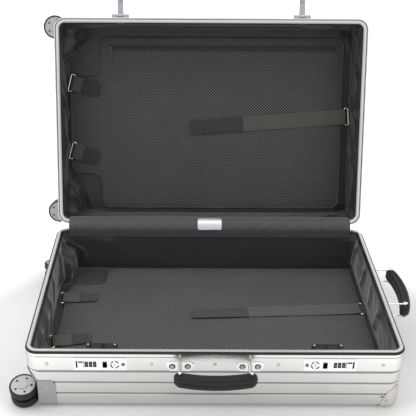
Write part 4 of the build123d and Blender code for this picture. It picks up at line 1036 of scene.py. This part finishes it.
def make_grip(name, node_name, place):
    """A long block with two rolls and a sunk channel, its ends rounded, arched away from the case"""
    grip = add_block(name, [-half for half in GRIP_HALF], GRIP_HALF)
    edit(grip)
    for axis, parts in ((0, 40), (2, 8), (1, 6)):
        way = [float(axis == other) for other in range(3)]
        for step in range(1, parts):
            level = -GRIP_HALF[axis] + 2 * GRIP_HALF[axis] * step / parts
            cut([level * share for share in way], way)
    done()
    modify(grip, "SUBSURF", levels=1, render_levels=1)
    channel_depth = 0.0026

    def mould(p):
        """Rounds the block's section and ends, sinks its channel and welt, and arches it"""
        across, up = p.y / GRIP_HALF[1], p.z / GRIP_HALF[2]
        swell = (abs(across) ** 4 + abs(up) ** 4) ** 0.25
        square = max(abs(across), abs(up))
        fit = square / swell if swell > 1e-6 else 1.0
        y, z = p.y * fit, p.z * fit
        end = max(0.0, (abs(p.x) - GRIP_END) / (GRIP_HALF[0] - GRIP_END))
        close = math.sqrt(max(0.0, 1 - 0.80 * min(1.0, end) ** 2.2))
        y, z = y * close, z * close
        body = (1 - ramp(abs(p.x), 0.060, 0.0700)) * ramp(square, 0.90, 0.99)
        channel, crease = math.exp(-(z / 0.0017) ** 2), math.exp(-((abs(z) - 0.0072) / 0.0006) ** 2)
        front = body * (channel * channel_depth + crease * 0.0006)
        top = body * (math.exp(-(y / 0.0016) ** 2) * channel_depth)
        if abs(across) >= abs(up):
            y -= math.copysign(front, y)
        else:
            z -= math.copysign(top, z)
        wrap = math.exp(-((abs(p.x) - GRIP_END) / 0.0008) ** 2) * 0.0005 * ramp(square, 0.9, 0.99)
        y -= math.copysign(wrap, y)
        z -= math.copysign(wrap, z)
        return Vector((p.x, GRIP_MIDDLE - grip_out(p.x) + y, HANDLE_LEVEL + z))

    shape(grip, mould)
    smooth(grip)
    finish_in(grip, grip_leather)
    settle(grip, place)
    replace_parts(grip, node_name)
    return grip


def make_stitches(name, place):
    """A row of short stitches along each side of the grip's channel"""
    first = add_block(name, (-0.0011, -0.0003, -0.00035), (0.0011, 0.0003, 0.00035))
    modify(first, "BEVEL", width=0.0002, segments=2)
    stitches = []
    pitch, most = 0.0037, 16
    for row in (-1, 1):
        for step in range(-most, most + 1):
            x = step * pitch
            stitch = first.copy()
            stitch.data = first.data.copy()
            bpy.context.collection.objects.link(stitch)
            turn = Matrix.Rotation(math.atan(2 * GRIP_ARCH * x / ARCH_HALF ** 2), 4, "Z")
            spot = (x, GRIP_SEAM - grip_out(x), HANDLE_LEVEL + row * 0.0052)
            stitch.matrix_world = Matrix.Translation(spot) @ turn
            stitches.append(stitch)
    only(first)
    bpy.ops.object.delete()
    thread = join(stitches, name)
    finish_in(thread, waxed_thread)
    settle(thread, place)
    return thread


END_PLACE = Matrix.Translation((HALF_LENGTH - HALF_WIDTH, 0.015, 0)) @ Matrix.Rotation(math.pi / 2, 4, "Z")
for label, place in (("front", BASE), ("end", END_PLACE)):
    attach(make_grip(f"{label}_grip_leather", f"{label}_handle_grip", place), f"{label}_grip")
    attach(make_stitches(f"{label}_grip_stitches", place), f"{label}_grip")


# Small trim on the locks, handles, lips and caps

def turned_button(name, centre, outward, radius, height, steps, material, oval=1.0, place=BASE):
    """A low round button: a disc raised from its seat, its face stepped by insets, its rim rounded"""
    bpy.ops.object.select_all(action="DESELECT")
    turn = Vector(outward).to_track_quat("Z", "Y")
    bpy.ops.mesh.primitive_cylinder_add(vertices=24, radius=radius, depth=height, location=(0, 0, height / 2))
    button = new_piece(name)
    edit(button)
    pick(button, "faces", lambda f: f.normal.z > 0.9)
    for thickness, depth in steps:
        bpy.ops.mesh.inset(thickness=thickness, depth=depth)
    done()
    modify(button, "BEVEL", width=min(radius, height) * 0.2, segments=2, limit_method="ANGLE")
    smooth(button, 50)
    finish_in(button, material)
    shape(button, lambda p: turn @ Vector((p.x, p.y * oval, p.z)) + Vector(centre))
    return settle(button, place)


def arc_mark(name, centre, inner, outer, start, stop, height, material, place=BASE):
    """A thin flat arc on the front, such as a ring of painted shade in a screw's recess or part of a key's
    dial
    """
    strip = add_grid(name, (0, 0), (1, 1), 20, 2, 0)

    def bend(p):
        turn, radius = start + (stop - start) * p.x, inner + (outer - inner) * p.y
        return Vector((centre[0] + radius * math.cos(turn), centre[1], centre[2] + radius * math.sin(turn)))

    shape(strip, bend)
    edit(strip)
    thicken((0, -height, 0))
    select_all()
    bpy.ops.mesh.remove_doubles(threshold=1e-6)
    turn_outwards()
    done()
    smooth(strip, 40)
    finish_in(strip, material)
    return settle(strip, place)


def bar(name, low, high, rounding, material, place=BASE):
    """A small rounded bar between two corners"""
    block = add_block(name, low, high)
    modify(block, "BEVEL", width=rounding, segments=3)
    smooth(block, 40)
    finish_in(block, material)
    return settle(block, place)


def trim(piece, body):
    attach(piece, body)


PLATE_FACE = -0.2462
BOSS_FACE = -0.2472
SLIDER_FACE = -0.2470
LOCK_X, LOCK_LEVEL = 0.223, 0.1105
FULL_TURN = 2 * math.pi
KEY_ARCS = ((0.5, 1.5), (1.9, 2.7), (3.0, 4.3), (4.9, 6.0))


def dress_lock(hand, side):
    """Red dot, key dial, slider's rib, a line of painted shade beside the slider, the slot's bit and the
    catch's hood inside the front
    """
    middle = side * LOCK_X
    dot = (middle - side * 0.045, PLATE_FACE, LOCK_LEVEL)
    red_dot = turned_button(f"red_dot_{hand}", dot, (0, -1, 0), 0.0030, 0.0007,
                            [(0.0009, 0.0003), (0.0009, 0.0001)], red_enamel)
    trim(red_dot, "base")
    ring = arc_mark(f"red_dot_ring_{hand}", dot, 0.0033, 0.0042, 0, FULL_TURN, 0.0005, white_paint)
    trim(ring, "base")
    key = (middle - side * 0.029, BOSS_FACE, LOCK_LEVEL)
    for part, (start, stop) in enumerate(KEY_ARCS):
        arc = arc_mark(f"key_dial_{hand}_{part}", key, 0.0066, 0.0088, start, stop, 0.0003, dark_marks_and_painted_shade)
        trim(arc, "base")
    rib_x, line_x, slot_x = middle + side * 0.0375, middle + side * 0.0308, middle - side * 0.0095
    rib = bar(f"slider_rib_{hand}", (rib_x - 0.0046, SLIDER_FACE - 0.0007, LOCK_LEVEL + 0.0044),
              (rib_x + 0.0046, SLIDER_FACE + 0.0003, LOCK_LEVEL + 0.0070), 0.0002, dark_marks_and_painted_shade)
    trim(rib, f"lock_slider_{hand}")
    # A thin dark line of painted shade on the plate, for the shade in the gap at the slider's edge
    line = bar(f"slider_edge_painted_shade_{hand}", (line_x - 0.0006, PLATE_FACE - 0.0003, LOCK_LEVEL - 0.0070),
               (line_x + 0.0006, PLATE_FACE + 0.0002, LOCK_LEVEL + 0.0078), 0.0001, dark_marks_and_painted_shade)
    trim(line, "base")
    bit = bar(f"slot_bit_{hand}", (slot_x - 0.0040, PLATE_FACE + 0.0003, LOCK_LEVEL + 0.0050),
              (slot_x + 0.0040, PLATE_FACE + 0.0014, LOCK_LEVEL + 0.0080), 0.0003, brass_pin)
    trim(bit, "base")
    make_hood(hand, middle)


def make_hood(hand, middle):
    """The catch's hood inside the front: a rounded block with two sunk fields and a screw at each end"""
    half, field, gap, front, back, top = 0.031, 0.022, 0.004, -0.2294, -0.1990, 0.1262
    hood = add_block(f"catch_hood_{hand}", (middle - half, front, 0.1080), (middle + half, back, top))
    edit(hood)
    for across in (-field, -gap, gap, field):
        cut((middle + across, 0, 0), (1, 0, 0))
    pick(hood, "faces", lambda f: f.normal.z > 0.9 and 0.005 < abs(f.calc_center_median().x - middle) < 0.021)
    bpy.ops.mesh.inset(thickness=0.0020, depth=-0.0030, use_individual=True)
    done()
    modify(hood, "BEVEL", width=0.0014, segments=3, limit_method="ANGLE")
    smooth(hood, 40)
    finish_in(hood, black_plastic)
    trim(hood, "base")
    for end, word in ((-1, "left"), (1, "right")):
        screw = turned_button(f"catch_screw_{hand}_{word}", (middle + end * 0.0265, -0.2050, top), (0, 0, 1),
                              0.0024, 0.0008, [(0.0006, -0.0003)], rivet_finish)
        trim(screw, "base")


def dress_handle(label, place, bodies):
    """Rings of painted shade in the plate screws' recesses, dark bars of painted shade in their slots, and
    the oval ends of the bails on the grip
    """
    plate_x, screw_x, recess_face, screw_face, slot_face = 0.068, 0.015, -0.2469, -0.2484, -0.2489
    wire_y = -0.2866
    for end, first, bail, body in ((-1, "first", "left", bodies[0]), (1, "last", "right", bodies[1])):
        for side in (-1, 1):
            x = end * plate_x + side * screw_x
            word = f"{label}_{first}_{'inner' if side * end < 0 else 'outer'}"
            # A ring of painted shade round each screw, for the shade in its dished seat
            recess = arc_mark(f"screw_recess_painted_shade_{word}", (x, recess_face, HANDLE_LEVEL), 0.0040, 0.0062,
                              0, FULL_TURN, 0.0003, dark_marks_and_painted_shade, place)
            trim(recess, "base")
            # A dark bar of painted shade across each screw head, for the shade in its slot
            slot = bar(f"screw_slot_painted_shade_{word}", (x - 0.0026, slot_face, HANDLE_LEVEL - 0.0005),
                       (x + 0.0026, screw_face, HANDLE_LEVEL + 0.0005), 0.0001, dark_marks_and_painted_shade, place)
            trim(slot, "base")
        low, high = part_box(f"front_handle_bail_{bail}")
        for level, way, word in ((high.z, 1, "upper"), (low.z, -1, "lower")):
            spot = ((low.x + high.x) / 2, wire_y, level - way * 0.0008)
            bail_end = turned_button(f"bail_end_{label}_{first}_{word}", spot, (0, 0, way), 0.0036, 0.0022,
                                     [(0.0009, 0.0004)], nickel, 1.45, place)
            trim(bail_end, body)


for label, place, bodies in (("front", BASE, ("front_bail_left", "front_bail_right")),
                             ("end", END_PLACE, ("end_bail_front", "end_bail_rear"))):
    dress_handle(label, place, bodies)
for side, hand, end in ((-1, "left", "front"), (1, "right", "rear")):
    for step, word in ((-1, "a"), (1, "b")):
        screw = turned_button(f"lid_lip_screw_{hand}_{word}", (side * 0.2135 + step * 0.0045, 0.2331, 0.1268),
                              (0, -1, 0), 0.0019, 0.0007, [(0.0006, 0.0002)], plate_finish, 1.0, LID)
        trim(screw, "lid")
    for half, place in (("base", BASE), ("lid", LID)):
        rivet = turned_button(f"{half}_cap_rivet_{end}", (0.3345, side * 0.2462, 0.0275), (0, side, 0),
                              0.0031, 0.0012, [(0.0008, 0.0003), (0.0008, 0.0001)], rivet_finish, 1.0, place)
        trim(rivet, half)


def make_numerals(hand, step):
    """The ten figures round a dial, cut as thin flat letters"""
    low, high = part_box(f"dial_{hand}_{step}")
    centre = (low + high) / 2
    radius = (high.z - low.z) / 2
    figures = []
    for figure in range(10):
        bpy.ops.object.select_all(action="DESELECT")
        bpy.ops.object.text_add()
        text = bpy.context.object
        text.data.body = str(figure)
        text.data.size = 0.0048
        text.data.extrude = 0.00006
        text.data.resolution_u = 2
        text.data.align_x = "CENTER"
        text.data.align_y = "CENTER"
        bpy.ops.object.convert(target="MESH")
        lift = Matrix.Translation((0, 0, radius + 0.00002))
        turn = Matrix.Rotation(math.radians(90 + 36 * figure), 4, "X")
        text.matrix_world = Matrix.Translation(centre) @ turn @ lift
        bpy.ops.object.transform_apply(location=True, rotation=True, scale=True)
        figures.append(text)
    ring = join(figures, f"dial_{hand}_{step}_figures")
    finish_in(ring, white_paint)
    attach(ring, f"dial_{hand}_{step}")


for side, hand in ((-1, "left"), (1, "right")):
    dress_lock(hand, side)
    for step in (1, 2, 3):
        make_numerals(hand, step)


# Finishes of the solids that show as they are

plain_finishes = {
    "base_shell": sheet_metal, "lid_shell": lid_sheet,
    "base_frame": frame_metal, "lid_frame": lid_frame_metal, "base_gasket": seal_finish,
    "base_strap_rings": nickel, "lid_strap_rings": nickel,
    "base_corner_caps": cap_finish, "lid_corner_caps": cap_finish,
    "base_wheel_housings": cast_finish, "lid_wheel_housings": cast_finish,
    "base_fasteners": rivet_finish, "lid_fasteners": rivet_finish,
    "hinge_leaf_base": hinge_finish, "hinge_leaf_lid": hinge_finish, "hinge_pin": hinge_finish,
    "lock_plates": plate_finish, "lock_cases": black_plastic, "hasp_bases": hasp_finish,
    "hasp_left": hasp_finish, "hasp_right": hasp_finish, "handle_plates": chrome,
    "telescope_guide_tubes": tube_metal, "telescope_tubes": tube_metal, "telescope_grip": black_plastic,
    "telescope_button": fork_plastic, "telescope_bezel": fork_plastic, "lid_zip_slider": zip_finish,
}
for name, cad_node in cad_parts.items():
    if name in plain_finishes:
        material = plain_finishes[name]
    elif name.startswith(("lock_slider", "key_cylinder")):
        material = plate_finish
    elif name.startswith("dial_"):
        material = dial_plastic
    elif name.endswith("_fork"):
        material = fork_plastic
    elif "_bail_" in name:
        material = nickel
    else:
        material = black_plastic
    for place in cad_node.material_slots:
        place.material = material


# Wheels and forks of a castor share one finish, because a fork's axle caps are the middles of its hubs
DROOP = math.radians(14)
TYRE_COLOUR, HUB_COLOUR = (0.008, 0.008, 0.009), (0.48, 0.50, 0.49)
lid_axle = LID.to_3x3() @ Vector((0, 0, 1))
for corner, axle in (
    ("base_front", Vector((0, math.sin(DROOP), -math.cos(DROOP)))),
    ("base_rear", Vector((0, math.sin(DROOP), math.cos(DROOP)))),
    ("lid_front", lid_axle),
    ("lid_rear", lid_axle),
):
    low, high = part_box(f"{corner}_wheels")
    finish = wheel_finish(f"{corner}_wheel", (low + high) / 2, axle, TYRE_COLOUR, HUB_COLOUR)
    for part in ("wheels", "fork"):
        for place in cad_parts[f"{corner}_{part}"].material_slots:
            place.material = finish


# Floor, light and camera

def shown_share(tree):
    """1 for what the camera sees, also in metal and glass, and 0 for light on the object"""
    seen = node(tree, "ShaderNodeLightPath").outputs
    mirrored = maths(tree, "MAXIMUM", seen["Is Glossy Ray"], seen["Is Transmission Ray"])
    return maths(tree, "MAXIMUM", seen["Is Camera Ray"], mirrored)


def add_floor():
    """Pale matt floor that glows to white away from the case and keeps its shadow; its glow is weaker near
    the case, which paints shade on the floor round it
    """
    bpy.ops.object.select_all(action="DESELECT")
    bpy.ops.mesh.primitive_plane_add(size=40, location=(0, 0, -0.0006))
    floor = new_piece("studio_floor")
    material = bpy.data.materials.new("pale_floor")
    material.use_nodes = True
    tree = material.node_tree
    tree.nodes.clear()
    shown = shown_share(tree)
    matt = node(tree, "ShaderNodeBsdfDiffuse", {"Color": (0.9, 0.9, 0.9, 1)})
    spot = node(tree, "ShaderNodeMapping", {"Vector": node(tree, "ShaderNodeTexCoord").outputs["Object"],
                                            "Scale": (0.62, 1, 1)}).outputs[0]
    # Weaker glow near the case: painted shade round the case, on top of the shadow the lamps cast
    glow_with_painted_shade_near_case = remap(tree, vector_maths(tree, "LENGTH", spot), 0.33, 0.52, 0.10, 1.0)
    strength = maths(tree, "MULTIPLY", shown, glow_with_painted_shade_near_case)
    glow = node(tree, "ShaderNodeEmission", {"Color": (1, 1, 1, 1), "Strength": strength})
    both = node(tree, "ShaderNodeAddShader", {0: matt.outputs[0], 1: glow.outputs[0]})
    node(tree, "ShaderNodeOutputMaterial", {"Surface": both.outputs[0]})
    floor.data.materials.append(material)


def add_light(name, place, towards, size, watts):
    bpy.ops.object.select_all(action="DESELECT")
    bpy.ops.object.light_add(type="AREA", location=place)
    lamp = bpy.context.object
    lamp.name = name
    lamp.data.shape = "RECTANGLE"
    lamp.data.size, lamp.data.size_y = size
    lamp.data.energy = watts
    lamp.rotation_euler = (Vector(towards) - Vector(place)).to_track_quat("-Z", "Y").to_euler()


def set_world():
    world = bpy.context.scene.world or bpy.data.worlds.new("studio")
    bpy.context.scene.world = world
    world.use_nodes = True
    tree = world.node_tree
    tree.nodes.clear()
    shown = shown_share(tree)
    strength = maths(tree, "ADD", 0.45, maths(tree, "MULTIPLY", shown, 0.55))
    sky = node(tree, "ShaderNodeBackground", {"Color": (1, 1, 1, 1), "Strength": strength})
    node(tree, "ShaderNodeOutputWorld", {"Surface": sky.outputs[0]})


def add_camera():
    """Camera at the photograph's viewpoint, found from the case's straight edges"""
    pitch, yaw, roll = math.radians(29.60), math.radians(0.14), 0.0058
    ahead = Vector((math.sin(yaw) * math.cos(pitch), math.cos(yaw) * math.cos(pitch), -math.sin(pitch)))
    level_right = Vector((math.cos(yaw), -math.sin(yaw), 0))
    level_up = level_right.cross(ahead)
    right = math.cos(roll) * level_right + math.sin(roll) * level_up
    up = -math.sin(roll) * level_right + math.cos(roll) * level_up
    bpy.ops.object.select_all(action="DESELECT")
    bpy.ops.object.camera_add(location=(-0.0586, -1.4884, 1.1100))
    camera = bpy.context.object
    camera.name = "photo_camera"
    photo_width, focal_pixels, middle_column, middle_row = 416, 813.4, 187.18, 232.67
    camera.data.sensor_width = 36
    camera.data.lens = focal_pixels / photo_width * 36
    camera.data.shift_x = (photo_width / 2 - middle_column) / photo_width
    camera.data.shift_y = (middle_row - photo_width / 2) / photo_width
    turn = Matrix((right, up, -ahead)).transposed()
    camera.rotation_euler = turn.to_euler()
    bpy.context.scene.camera = camera


add_floor()
set_world()
add_light("key_light", (-2.0, -0.7, 1.9), (0.1, 0, 0.1), (2.4, 2.0), 17)
add_light("fill_light", (1.9, -1.0, 1.9), (0, 0.1, 0.2), (1.6, 1.4), 3)
add_light("top_light", (0.1, 0.55, 2.9), (0, 0.05, 0.1), (3.4, 2.4), 34)
add_camera()
bpy.context.scene.view_settings.view_transform = "Standard"
if bpy.context.object and bpy.context.object.mode != "OBJECT":
    bpy.ops.object.mode_set(mode="OBJECT")
